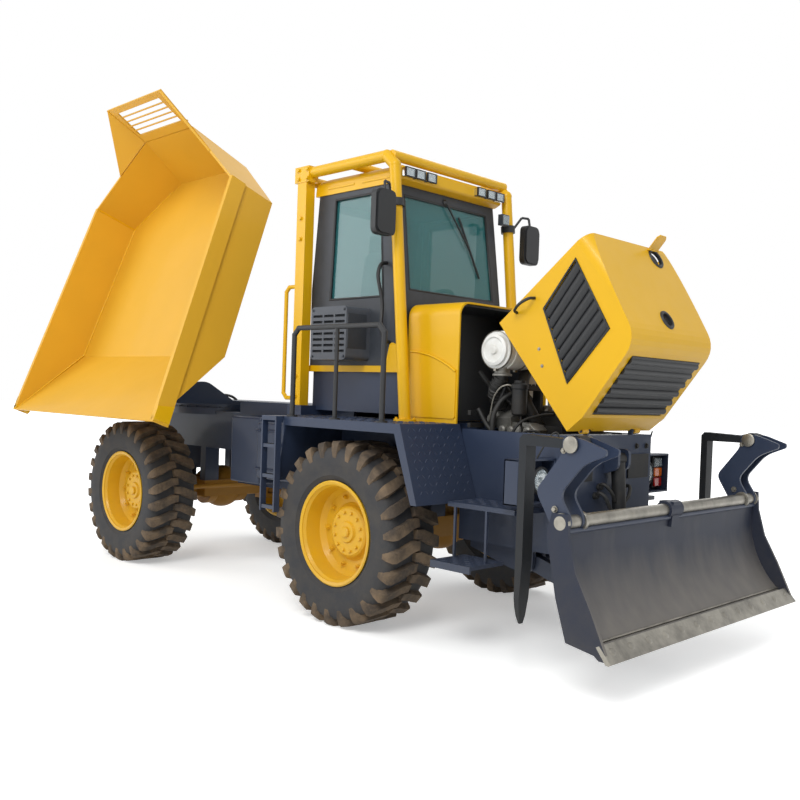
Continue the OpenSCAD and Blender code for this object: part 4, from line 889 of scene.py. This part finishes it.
# %% [markdown]
# The side grilles are moulded in wide half-round louvres that run up towards the bonnet's top, and the
# nose has six round bars before a plate. The solids' side slats run the other way, so this piece takes
# their place. A louvre is a half-round bar whose width follows the grille's slanted edges.

# %% Grilles
SIDE_GRILLE = [(0.744, 0.632), (0.292, 0.561), (0.222, 0.175), (0.665, 0.307)]
GRILLE_Y, LOUVRES, CREST, LOUVRE_FILL = 0.450, 7, 0.016, 0.94
NOSE_FOOT, NOSE_LOW, NOSE_HIGH, NOSE_HALF = 0.130, 0.150, 0.555, 0.388
NOSE_BARS, NOSE_LEAN, NOSE_FIRST, NOSE_PITCH = 6, 0.25, 0.035, 0.067


def louvre(bm, start, end, wide_start, wide_end, out, steps=8):
    """A half-round bar between two points, with its width at each end."""
    spin = [math.pi * k / steps for k in range(steps + 1)]
    rings = []
    for p, wide in ((start, wide_start), (end, wide_end)):
        rings.append([bm.verts.new(p + wide / 2 * math.cos(a) + out * math.sin(a)) for a in spin])
    for k in range(steps):
        bm.faces.new((rings[0][k], rings[0][k + 1], rings[1][k + 1], rings[1][k]))
    bm.faces.new((rings[0][0], rings[0][-1], rings[1][-1], rings[1][0]))
    for ring in rings:
        bm.faces.new(ring)


bm = bmesh.new()
for side in (-1, 1):
    top, front, low, rear = [on_bonnet(back, side * GRILLE_Y, up) for back, up in SIDE_GRILLE]
    slab(bm, [top, front, low, rear], (0, side * -0.004, 0))
    wide_low, wide_top = (low - rear) * LOUVRE_FILL / LOUVRES, (front - top) * LOUVRE_FILL / LOUVRES
    for k in range(LOUVRES):
        share = (k + 0.5) / LOUVRES
        start, end = rear.lerp(low, share), top.lerp(front, share)
        louvre(bm, start, end, wide_low, wide_top, Vector((0, side * CREST, 0)))
plate = ((0.009, NOSE_LOW), (0.015, NOSE_LOW), (0.117, NOSE_HIGH), (0.099, NOSE_HIGH))
slab(bm, [on_bonnet(back, -NOSE_HALF, up) for back, up in plate], (0, 2 * NOSE_HALF, 0))
for k in range(NOSE_BARS):
    up = NOSE_LOW + NOSE_FIRST + k * NOSE_PITCH
    back = NOSE_LEAN * (up - NOSE_FOOT) + 0.004
    bar(bm, on_bonnet(back, -NOSE_HALF, up), on_bonnet(back, NOSE_HALF, up), 0.022, 24)
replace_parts(finish_piece("moulded_grilles", bm, black_trim, "bonnet"), "bonnet_grilles")
print("louvres on each side", LOUVRES)

# %% [markdown]
# Two filler holes go through the bonnet's long top, each with a rolled rim and a cap below it. A small
# flap stands open behind the rear one. The rims are turned about the top's own upward direction.

# %% Filler holes and flap
slope = (on_bonnet(0.8, 0, 0.785) - on_bonnet(0.3, 0, 0.692)).normalized()
proud = Vector((0, -1, 0)).cross(slope).normalized()
if proud.dot(on_bonnet(0, 0, 1) - on_bonnet(0, 0, 0)) < 0:
    proud = -proud
TOP_REAR, TOP_HIGH, TOP_FALL = 0.822, 0.785, 0.1812


def roof_point(back, y, high=0.0):
    """A point on the bonnet's long top face, raised along that face's own direction."""
    return on_bonnet(back, y, TOP_HIGH - (TOP_REAR - back) * TOP_FALL) + proud * high


for name, back, y, r in (("front_hole", 0.29, 0.0, 0.048), ("rear_hole", 0.745, 0.24, 0.055)):
    rolled = [(r - 0.006, 0), (r - 0.006, 0.018), (r, 0.022), (r + 0.010, 0.020), (r + 0.014, 0.011),
              (r - 0.006, 0)]
    cap = [(0, 0), (r - 0.003, 0.0), (r - 0.003, 0.025), (0.02, 0.034), (0, 0.034)]
    bm = bmesh.new()
    turned(bm, roof_point(back, y, -0.012), proud, rolled, 36)
    finish_piece(name + "_rim", bm, black_trim, "bonnet")
    bm = bmesh.new()
    turned(bm, roof_point(back, y, -0.045), proud, cap, 28)
    finish_piece(name + "_cap", bm, black_trim, "bonnet")

FLAP = [(-0.055, 0.0), (0.055, 0.0), (0.055, 0.085), (0.035, 0.105), (-0.035, 0.105), (-0.055, 0.085)]
hinge_line = roof_point(0.80, 0.24, 0.008)
lid = (proud * 0.9 + slope * 0.35).normalized()
wide = Vector(AXIS_Y)
bm = bmesh.new()
slab(bm, [hinge_line + wide * y + lid * up for y, up in FLAP], slope * 0.006)
bar(bm, hinge_line - wide * 0.06, hinge_line + wide * 0.06, 0.007, 10)
finish_piece("filler_flap", bm, yellow, "bonnet", bevel=0.001)
print("bonnet dressed")

# %% [markdown]
# ## Engine bay
# With the bonnet up, the bay shows a tangle of hoses, a belt round three pulleys, a wiring loom and the
# air cleaner with its clamps and end cap. The belt could be drawn by hand. Here it is the outline that
# wraps three circles, so it always lies tight on its pulleys.

# %% Belt and clamps
def wrap(circles, steps=40):
    """The tight outline round some circles (y, z, r), by walking the outermost points."""
    pts = set()
    for y, z, r in circles:
        for k in range(steps):
            a = 2 * math.pi * k / steps
            pts.add((round(y + r * math.cos(a), 5), round(z + r * math.sin(a), 5)))
    pts = sorted(pts)
    hull = []
    for run in (pts, pts[::-1]):
        part = []
        for p in run:
            while len(part) > 1 and ((part[-1][0] - part[-2][0]) * (p[1] - part[-2][1])
                                     - (part[-1][1] - part[-2][1]) * (p[0] - part[-2][0])) <= 0:
                part.pop()
            part.append(p)
        hull += part[:-1]
    return hull


PULLEYS = [(0, 0.82, 0.100), (0, 1.09, 0.075), (-0.235, 1.105, 0.050)]
loop = wrap(PULLEYS)
for name, x in (("fan_belt_front", 2.515), ("fan_belt_rear", 2.498)):
    tube(name, [(x, y, z) for y, z in loop], 0.007, hose_rubber, "chassis", closed=True, smooth=False)

# The air cleaner lies across the machine, so its axis is a place in X and Z.
CLEANER_X, CLEANER_Z = 2.163, 1.790
CLAMP = [(0.116, 0), (0.1195, 0.002), (0.1195, 0.016), (0.116, 0.018)]
END_CAP = [(0.097, 0.0), (0.097, 0.006), (0.080, 0.012), (0.072, 0.004), (0.03, 0.004), (0.024, 0.016),
           (0, 0.018)]
bm = bmesh.new()
for y in (-0.395, -0.20, 0.05):
    turned(bm, (CLEANER_X, y - 0.009, CLEANER_Z), AXIS_Y, CLAMP, 40)
    block(bm, (2.155, y - 0.012, 1.660), (2.172, y + 0.012, 1.676))
finish_piece("cleaner_clamps", bm, steel, "chassis")
bm = bmesh.new()
turned(bm, (CLEANER_X, -0.417, CLEANER_Z), (0, -1, 0), END_CAP, 40)
finish_piece("cleaner_end", bm, pale, "chassis")
print("belt of", len(loop), "points")

# %% [markdown]
# Hoses sag and bend as they please, so each is a smooth curve through a few given points.

# %% Hoses, pipes and loom
# Each hose has a name, a radius and its points.
HOSES = [
    ("top_hose", 0.030,
     [(2.515, 0.06, 1.29), (2.56, 0.07, 1.30), (2.60, 0.12, 1.285), (2.615, 0.16, 1.27)]),
    ("low_hose", 0.030,
     [(2.49, -0.10, 0.98), (2.54, -0.20, 0.90), (2.57, -0.26, 0.80), (2.61, -0.28, 0.70)]),
    ("intake_bend", 0.038,
     [(2.163, -0.06, 1.70), (2.20, -0.16, 1.60), (2.26, -0.22, 1.50), (2.30, -0.17, 1.38),
      (2.31, -0.11, 1.31)]),
    ("breather", 0.016,
     [(2.20, -0.05, 1.42), (2.21, -0.10, 1.50), (2.18, -0.26, 1.52), (2.13, -0.34, 1.42),
      (2.12, -0.36, 1.25)]),
    ("fuel_line", 0.009,
     [(2.14, -0.25, 1.11), (2.12, -0.30, 1.20), (2.22, -0.28, 1.27), (2.36, -0.20, 1.28),
      (2.42, -0.12, 1.26)]),
    ("fuel_return", 0.008,
     [(2.27, -0.25, 1.11), (2.28, -0.32, 1.22), (2.40, -0.32, 1.30), (2.46, -0.22, 1.24),
      (2.46, -0.13, 1.22)]),
    ("loom", 0.014,
     [(2.02, -0.38, 1.42), (2.10, -0.36, 1.30), (2.25, -0.35, 1.20), (2.40, -0.33, 1.17),
      (2.46, -0.29, 1.14)]),
    ("loom_branch", 0.009,
     [(2.25, -0.35, 1.20), (2.30, -0.33, 1.33), (2.36, -0.20, 1.39), (2.40, -0.10, 1.40)]),
    ("heater_feed", 0.015,
     [(2.06, 0.10, 1.36), (2.00, 0.02, 1.48), (1.97, -0.12, 1.62), (1.95, -0.22, 1.72)]),
    ("heater_back", 0.015,
     [(2.06, 0.02, 1.36), (2.02, -0.08, 1.45), (1.99, -0.22, 1.56), (1.95, -0.30, 1.66)]),
    ("dip_stick", 0.007,
     [(2.30, -0.19, 0.95), (2.31, -0.25, 1.15), (2.30, -0.30, 1.36), (2.30, -0.30, 1.44)]),
]
for name, r, pts in HOSES:
    tube(name, pts, r, hose_rubber, "chassis")
print("hoses", len(HOSES))

# %% [markdown]
# The engine's solid has the large forms. Bolt heads, an oil filler cap, the alternator's case, a stay
# for the air cleaner and the radiator's fins bring it down to the size of a spanner.

# %% Castings, brackets and bolts on the engine
OIL_CAP = [(0, 0), (0.034, 0), (0.034, 0.02), (0.028, 0.034), (0.012, 0.036), (0, 0.036)]
ALTERNATOR = [(0, 0), (0.06, 0.0), (0.072, 0.012), (0.0735, 0.05), (0.0735, 0.11), (0, 0.11)]
FINS, FIN_PITCH = 46, 0.0105
bm = bmesh.new()
for k in range(6):
    for y in (-0.075, 0.075):
        bolt(bm, (2.115 + k * 0.070, y, 1.420), AXIS_Z, 0.009, 0.012)
for k in range(5):
    for z in (1.15, 0.79):
        bolt(bm, (2.09 + k * 0.088, -0.190, z), (0, -1, 0), 0.010, 0.014)
turned(bm, (2.28, 0.0, 1.42), AXIS_Z, OIL_CAP, 20)
turned(bm, (2.33, -0.235, 1.105), AXIS_X, ALTERNATOR, 28)
slab(bm, [(2.08, -0.17, 1.33), (2.08, -0.26, 1.30), (2.08, -0.28, 1.37), (2.08, -0.19, 1.42)], (0.12, 0, 0))
finish_piece("engine_castings", bm, alloy, "chassis", bevel=0.003)
bm = bmesh.new()
bar(bm, (2.06, -0.32, 1.30), (2.17, -0.30, 1.57), 0.012)
bar(bm, (2.17, -0.30, 1.57), (CLEANER_X, -0.28, 1.69), 0.010)
for z in (1.30, 1.38):
    block(bm, (1.985, -0.44, z), (2.01, -0.30, z + 0.03))
finish_piece("cleaner_stay", bm, iron, "chassis")
bm = bmesh.new()
for k in range(FINS):
    z = 0.725 + k * FIN_PITCH
    block(bm, (2.600, -0.368, z), (2.616, 0.368, z + 0.0035))
finish_piece("radiator_fins", bm, alloy, "chassis")
print("engine bay filled, radiator fins", FINS)

# %% [markdown]
# A black sheet lines the scuttle behind the engine: painted shade, so the bay looks dark. In front
# of it stand the oil filter on its bracket, the ribbed intake bend below the air cleaner and the throttle
# cable. The bend's ribs are rings set along its line, which is simpler than swelling the tube itself.

# %% Lining and oil filter
HOOD_HALF, HOOD_TOP, HOOD_R, HOOD_FOOT = 0.463, 2.087, 0.077, 1.322
LINING, COWL_REAR, COWL_FRONT = 0.014, 1.484, 1.905
FILTER = (2.283, -0.300, 1.385)
FILTER_CAN = [(0, 0), (0.030, 0), (0.046, 0.012), (0.048, 0.03), (0.048, 0.165), (0.053, 0.17),
              (0.053, 0.195), (0.036, 0.205), (0.036, 0.22), (0, 0.22)]


def hood_line(inset, steps=8):
    """The hood's section, drawn in by an inset: up one side, over two round corners, down the other."""
    half, top, r = HOOD_HALF - inset, HOOD_TOP - inset, HOOD_R - inset
    pts = [(COWL_REAR, -half, HOOD_FOOT)]
    for side, first in ((-1, 180), (1, 90)):
        for k in range(steps + 1):
            a = math.radians(first - 90 * k / steps)
            pts.append((COWL_REAR, side * (half - r) + r * math.cos(a), top - r + r * math.sin(a)))
    return pts + [(COWL_REAR, half, HOOD_FOOT)]


# The black sheet inside the hood is painted shade that darkens the bay.
outer, inner = hood_line(0), hood_line(LINING)
bm = bmesh.new()
slab(bm, outer + inner[::-1], (COWL_FRONT - COWL_REAR, 0, 0))
slab(bm, inner, (LINING, 0, 0))
finish_piece("cowl_shade_sheet", bm, black_trim, "chassis")

bm = bmesh.new()
turned(bm, FILTER, AXIS_Z, FILTER_CAN, 28)
block(bm, (2.253, -0.262, 1.545), (2.313, -0.095, 1.575))
block(bm, (2.253, -0.125, 1.400), (2.313, -0.095, 1.575))
for y in (-0.20, -0.16):
    bolt(bm, (FILTER[0], y, 1.575), AXIS_Z, 0.010, 0.012)
finish_piece("oil_filter", bm, iron, "chassis", bevel=0.002)
print("lining", round(COWL_FRONT - COWL_REAR, 3), "m deep")

# %% Intake bend, throttle cable and cowl crease
BEND = [Vector(p) for p in ((CLEANER_X, -0.33, 1.690), (2.160, -0.33, 1.630), (2.110, -0.32, 1.560),
                            (2.070, -0.28, 1.500), (2.080, -0.20, 1.440), (2.120, -0.12, 1.400))]
RIB = [(0.036, -0.010), (0.048, -0.004), (0.048, 0.004), (0.036, 0.010)]
NECK = [(0.040, 0), (0.062, 0.0), (0.062, 0.014), (0.050, 0.018), (0.050, 0.06), (0, 0.06)]
PUMP = [(0, -0.06), (0.062, -0.06), (0.062, 0.02), (0.05, 0.05), (0.026, 0.06), (0.026, 0.09), (0, 0.09)]
PORT = [(0, 0), (0.028, 0), (0.028, 0.03), (0.018, 0.04), (0, 0.04)]
MANIFOLD = [(2.10, 1.25), (2.36, 1.25), (2.38, 1.30), (2.33, 1.345), (2.12, 1.345)]
CABLE = [(2.055, -0.310, 1.300), (2.085, -0.330, 1.420), (2.130, -0.345, 1.520), (2.205, -0.340, 1.575),
         (2.235, -0.310, 1.570)]
CREASE = [(1.500, 1.782), (1.600, 1.772), (1.720, 1.742), (1.840, 1.690), (1.905, 1.652)]

tube("ribbed_bend", BEND, 0.040, hose_rubber, "chassis")
bm = bmesh.new()
for a, b in zip(BEND[1:], BEND[2:]):
    for share in (0.15, 0.48, 0.81):
        turned(bm, a.lerp(b, share), b - a, RIB, 20)
finish_piece("bend_ribs", bm, hose_rubber, "chassis")
bm = bmesh.new()
turned(bm, (CLEANER_X, -0.33, 1.630), AXIS_Z, NECK, 24)
turned(bm, (2.052, -0.21, 1.36), (0, -1, 0), PUMP, 24)
slab(bm, [(x, -0.125, z) for x, z in MANIFOLD], (0, -0.13, 0))
for k in range(4):
    turned(bm, (2.14 + k * 0.065, -0.255, 1.295), (0, -1, 0), PORT, 14)
finish_piece("intake_castings", bm, alloy, "chassis", bevel=0.003)
tube("throttle_cable", CABLE, 0.006, steel, "chassis")
for side, tag in SIDES:
    crease = [(x, side * 0.481, z) for x, z in CREASE]
    tube("cowl_crease_" + tag, crease, 0.009, yellow, "chassis")
print("engine bay lined")

# %% [markdown]
# ## Road lamps
# Each guard box is welded from plate and open to the front. The round lamp stands nearer the engine, and
# a strip of signal lamps nearer the outside. The solids have the two the other way round, so these
# pieces stand in for them. The boxes keep the solids' size and place.

# %% Road lamps
GUARD_REAR, GUARD_FRONT, GUARD_PLATE = 2.600, 2.700, 0.012
GUARD_IN, GUARD_OUT, GUARD_LOW, GUARD_TOP = 0.479, 0.829, 0.900, 1.157
ROUND_Y, ROUND_Z = 0.585, 1.030
SIGNAL_LOW, SIGNAL_PITCH, SIGNAL_HIGH = 0.934, 0.066, 0.060
BOWL = [(0, 0), (0.05, 0.0), (0.072, 0.03), (0.078, 0.055), (0.078, 0.068), (0.066, 0.068), (0.06, 0.05),
        (0.03, 0.022), (0, 0.018)]
LENS = [(0.066, 0.0), (0.060, 0.010), (0.035, 0.018), (0, 0.020)]
BEZEL = [(0.066, 0.0), (0.082, 0.0), (0.084, 0.012), (0.072, 0.020), (0.066, 0.014), (0.066, 0.0)]


def lamp_guard(bm, side):
    """A box of plates, open to the front: its back, floor, top and two ends."""
    inner, outer = side * GUARD_IN, side * GUARD_OUT
    block(bm, (GUARD_REAR, inner, GUARD_LOW), (GUARD_REAR + GUARD_PLATE, outer, GUARD_TOP))
    for z in (GUARD_LOW, GUARD_TOP - GUARD_PLATE):
        block(bm, (GUARD_REAR, inner, z), (GUARD_FRONT, outer, z + GUARD_PLATE))
    block(bm, (GUARD_REAR, outer - side * GUARD_PLATE, GUARD_LOW), (GUARD_FRONT, outer, GUARD_TOP))
    block(bm, (GUARD_REAR, inner, GUARD_LOW), (GUARD_FRONT, inner + side * GUARD_PLATE, GUARD_TOP))


for side, tag in SIDES:
    bm = bmesh.new()
    lamp_guard(bm, side)
    guard = finish_piece("lamp_guard_" + tag, bm, navy, "chassis", bevel=0.003)
    if side < 0:
        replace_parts(guard, "road_lamps")
    bm = bmesh.new()
    turned(bm, (2.612, side * ROUND_Y, ROUND_Z), AXIS_X, BOWL, 36)
    finish_piece("lamp_bowl_" + tag, bm, silvered, "chassis")
    bm = bmesh.new()
    turned(bm, (2.676, side * ROUND_Y, ROUND_Z), AXIS_X, LENS, 36)
    finish_piece("lamp_lens_" + tag, bm, clear_lens, "chassis")
    bm = bmesh.new()
    turned(bm, (2.668, side * ROUND_Y, ROUND_Z), AXIS_X, BEZEL, 36)
    block(bm, (2.611, side * 0.700, 0.925), (2.655, side * 0.812, 1.135))
    finish_piece("lamp_bezel_" + tag, bm, black_trim, "chassis", bevel=0.003)
    for k, mat in enumerate((red_lens, amber_lens, clear_lens)):
        z = SIGNAL_LOW + k * SIGNAL_PITCH
        bm = bmesh.new()
        block(bm, (2.654, side * 0.708, z), (2.668, side * 0.804, z + SIGNAL_HIGH))
        finish_piece("signal_%s_%d" % (tag, k), bm, mat, "chassis", bevel=0.006)
print("road lamps in place")

# %% [markdown]
# ## Blade and forks
# The cutting edge is bolted to the blade's foot, a weld runs along the joint, and collars hold the cross
# shaft. The fork pins have round heads, with lock bolts beside and below them. The blade's hollow face
# is part of a circle, so a point on it is found from an angle.

# %% Blade
HOLLOW_X, HOLLOW_Z, HOLLOW_R = 3.764, 0.755, 0.580
EDGE_BOLTS, EDGE_PITCH = 13, 0.17
SHAFT_X, SHAFT_Z = 3.171, 0.888
PIN_X, PIN_Z, FORK_Y, FORK_HALF = 3.205, 1.277, 0.999, 0.074
EDGE_HEAD = [(0, 0.0), (0.022, 0.0), (0.021, 0.006), (0.014, 0.011), (0, 0.012)]
COLLAR = [(0.036, 0), (0.050, 0.002), (0.050, 0.024), (0.036, 0.026)]
PIN_HEAD = [(0.026, 0), (0.042, 0.0), (0.042, 0.008), (0.034, 0.012), (0, 0.012)]


def on_blade(y, deg, proud=0.0):
    """A point on the blade's hollow front face, by its angle below the circle's middle."""
    a, r = math.radians(deg), HOLLOW_R - proud
    return Vector((HOLLOW_X - r * math.cos(a), y, HOLLOW_Z - r * math.sin(a)))


bm = bmesh.new()
for k in range(EDGE_BOLTS):
    turned(bm, (3.447, -1.02 + k * EDGE_PITCH, 0.298), (0.75, 0, 0.66), EDGE_HEAD, 16)
finish_piece("edge_bolts", bm, steel, "blade")
tube("edge_weld", [on_blade(y, 47.5, 0.002) for y in (-1.074, -0.5, 0, 0.5, 1.074)], 0.007, steel, "blade")
tube("top_rail", [(3.190, y, 0.846) for y in (-1.07, 1.07)], 0.014, navy, "blade", smooth=False)
bm = bmesh.new()
for y in (-1.094, -0.93, 0.93, 1.07):
    turned(bm, (SHAFT_X, y, SHAFT_Z), AXIS_Y, COLLAR, 28)
finish_piece("shaft_collars", bm, steel, "blade", bevel=0.002)
bm = bmesh.new()
for side in (-1, 1):
    for s in (-1, 1):
        y = side * FORK_Y + s * FORK_HALF
        turned(bm, (PIN_X, y, PIN_Z), (0, s, 0), PIN_HEAD, 24)
        bolt(bm, (3.159, y - s * 0.006, 1.245), (0, s, 0), 0.010, 0.014)
        bolt(bm, (3.120, y - s * 0.006, 0.95), (0, s, 0), 0.012, 0.016)
finish_piece("fork_pin_heads", bm, steel, "blade")
print("edge bolts", EDGE_BOLTS)

# %% [markdown]
# Three hoses feed the lift cylinder from unions on the engine box's front plate.

# %% Lift hoses and front plate
FRONT_X, LIFT_R = 2.760, 0.011
LIFT_HOSES = {
    "lift_hose_a": [(2.764, -0.12, 0.98), (2.80, -0.13, 1.00), (2.835, -0.10, 0.96), (2.835, -0.05, 0.90)],
    "lift_hose_b": [(2.764, -0.16, 0.93), (2.81, -0.17, 0.95), (2.85, -0.12, 0.86), (2.845, -0.05, 0.80)],
    "lift_hose_c": [(2.764, 0.14, 0.95), (2.80, 0.15, 0.98), (2.84, 0.10, 0.93), (2.835, 0.05, 0.88)],
}
UNION = [(0, 0), (0.022, 0), (0.022, 0.012), (0.015, 0.016), (0.015, 0.03), (0, 0.03)]
bm = bmesh.new()
for name, pts in LIFT_HOSES.items():
    tube(name, pts, LIFT_R, hose_rubber, "chassis")
    turned(bm, (FRONT_X, pts[0][1], pts[0][2]), AXIS_X, UNION, 12)
for y in (-0.42, -0.30, 0.30, 0.42):
    for z in (0.66, 1.22):
        bolt(bm, (FRONT_X, y, z), AXIS_X, 0.013, 0.014)
block(bm, (FRONT_X, -0.44, 1.02), (2.770, -0.20, 1.17))
block(bm, (FRONT_X, 0.20, 1.02), (2.770, 0.44, 1.17))
finish_piece("front_plate_fittings", bm, iron, "chassis", bevel=0.002)
print("lift hoses", len(LIFT_HOSES))

# %% [markdown]
# The lamp wires leave the engine box in short loops and go back into the lamp guards. They stand free,
# and each is drawn as an arch.

# %% Lamp wires
def arch_points(start, end, rise, bow, steps=28):
    """An arch from start to end that rises in the middle and bows sideways."""
    start, end = Vector(start), Vector(end)
    reach = Vector((bow, 0, rise))
    return [start.lerp(end, k / steps) + reach * math.sin(math.pi * k / steps) for k in range(steps + 1)]


for side, tag in SIDES:
    pts = arch_points((2.735, side * 0.482, 1.20), (2.655, side * 0.600, 1.157), 0.13, 0.035)
    wire = tube("lamp_wire_" + tag, pts, 0.005, hose_rubber, "chassis", smooth=False)

# %% [markdown]
# ## Skip
# Weld beads run where the floor meets the sides and rear, the lip has a wear strip, and pieces of thick
# tube stiffen the lip's corners. Ribs stand under the floor. All of it is laid out on the lowered skip,
# and two directions, along the rim and up from it, push the plates to their thickness.

# %% Skip seams, lip and ribs
RIM_WAY = on_skip(0, 1, 0) - on_skip(0, 0, 0)
UP_WAY = on_skip(0, 0, 1) - on_skip(0, 0, 0)
FLOOR_DOWN, RIB_DEEP, RIB_THICK = 0.430, 0.05, 0.03
LIP_STRIP = [(-1.204, 0.0, -0.016), (1.204, 0.0, -0.016), (1.190, 0.09, -0.070), (-1.190, 0.09, -0.070)]
LIP_CHEEK = [(1.204, 0.02, -0.135), (1.204, 0.02, 0.0), (1.199, 0.12, 0.0), (1.197, 0.16, -0.135)]
FLOOR_RIB = [(0.19, 0.0), (0.80, 0.0), (0.74, RIB_DEEP), (0.19, RIB_DEEP)]
# Each seam is a line of points on one side: out from the middle, along the rim and up.
SEAMS = [
    [(1.186, 0.03, -0.02), (1.15196, 0.70, -0.410), (1.080, 2.02, -0.412)],
    [(1.080, 2.02, -0.412), (1.081, 2.02, -0.01)],
    [(1.078, 2.025, -0.412), (0.60, 2.372, -0.412)],
]

for i, side in enumerate((-1, 1)):
    for k, seam in enumerate(SEAMS):
        line = [on_skip(side * x, along, up) for x, along, up in seam]
        tube("skip_seam_%d" % (i * len(SEAMS) + k), line, 0.007, yellow, "skip", smooth=False)
bm = bmesh.new()
slab(bm, [on_skip(*p) for p in LIP_STRIP], UP_WAY * -0.004)
finish_piece("lip_strip", bm, yellow, "skip")
bm = bmesh.new()
for side in (-1, 1):
    for low, high in ((-0.135, -0.085), (-0.05, 0.0)):
        bar(bm, on_skip(side * 1.205, 0.03, low), on_skip(side * 1.205, 0.03, high), 0.026, 20)
    slab(bm, [on_skip(side * x, along, up) for x, along, up in LIP_CHEEK], (side * 0.026, 0, 0))
finish_piece("lip_corners", bm, yellow, "skip", bevel=0.002)
bm = bmesh.new()
for along in (1.1, 1.45, 1.8, 2.2):
    for side in (-1, 1):
        rib = [on_skip(side * x, along, -FLOOR_DOWN - deep) for x, deep in FLOOR_RIB]
        slab(bm, rib, RIM_WAY * RIB_THICK)
finish_piece("floor_ribs", bm, yellow, "skip", bevel=0.003)
print("seams", 2 * len(SEAMS))

# %% [markdown]
# The solid's rear wall is open in a band below the visor, where the real one is closed. A sheet as thick
# as the wall covers the band here.

# %% Sheet over the open band of the solid's rear wall
WALL = 0.017
SHEET = [(-0.505, 2.447, -0.414), (0.505, 2.447, -0.414), (0.385, 2.5385, 0.095), (-0.385, 2.5385, 0.095)]
bm = bmesh.new()
slab(bm, [on_skip(*p) for p in SHEET], RIM_WAY * WALL)
finish_piece("rear_wall", bm, skip_paint, "skip")
print("skip dressed")

# %% [markdown]
# The turntable's ring is bolted down all round, and three hoses lie across its middle on their way to
# the tip cylinder.

# %% Turntable bolts and hoses
RING_R, RING_BOLTS = 0.461, 28
# The hoses share one line: a share of the hose's own X, an offset in Y, and a height.
SLEW_LINE = [(1.0, 0.05, 1.386), (1.0, 0.0, 1.415), (0.8, -0.15, 1.43), (0.6, -0.32, 1.415),
             (0.6, -0.42, 1.386)]
bm = bmesh.new()
for k in range(RING_BOLTS):
    a = 2 * math.pi * k / RING_BOLTS
    bolt(bm, (XK + RING_R * math.cos(a), RING_R * math.sin(a), 1.320), AXIS_Z, 0.006, 0.012)
finish_piece("ring_bolts", bm, navy, "chassis")
for k, (x, y) in enumerate(((-0.16, 0.10), (-0.10, 0.16), (-0.22, 0.04))):
    line = [(XK + x * share, y + shift, z) for share, shift, z in SLEW_LINE]
    tube("slew_hose_%d" % k, line, 0.012, hose_rubber, "turntable")
print("ring bolts", RING_BOLTS)

# %% [markdown]
# Between the axles hang a battery box and a tank on each side, with straps and a filler cap. The ladders'
# treads have rows of short bars for grip.

# %% Frame boxes, tank and ladder treads
FILLER = [(0, 0), (0.04, 0), (0.04, 0.03), (0.034, 0.04), (0, 0.04)]
TREADS, GRIPS, GRIP_PITCH = (0.714, 0.924, 1.129), 6, 0.018
bm = bmesh.new()
for side in (-1, 1):
    block(bm, (-0.51, side * 0.322, 0.74), (-0.12, side * 0.50, 1.27))
    block(bm, (-0.10, side * 0.322, 0.80), (0.42, side * 0.54, 1.24))
    for z in (0.86, 1.16):
        block(bm, (-0.12, side * 0.322, z), (0.44, side * 0.548, z + 0.03))
finish_piece("side_boxes", bm, navy, "chassis", bevel=0.018)
bm = bmesh.new()
for side in (-1, 1):
    turned(bm, (0.30, side * 0.46, 1.24), AXIS_Z, FILLER, 18)
    for z in TREADS:
        for k in range(GRIPS):
            x = 0.72 + k * GRIP_PITCH
            bar(bm, (x, side * 1.043, z), (x, side * 1.071, z), 0.004, 6)
finish_piece("caps_and_treads", bm, iron, "chassis")
print("frame dressed")
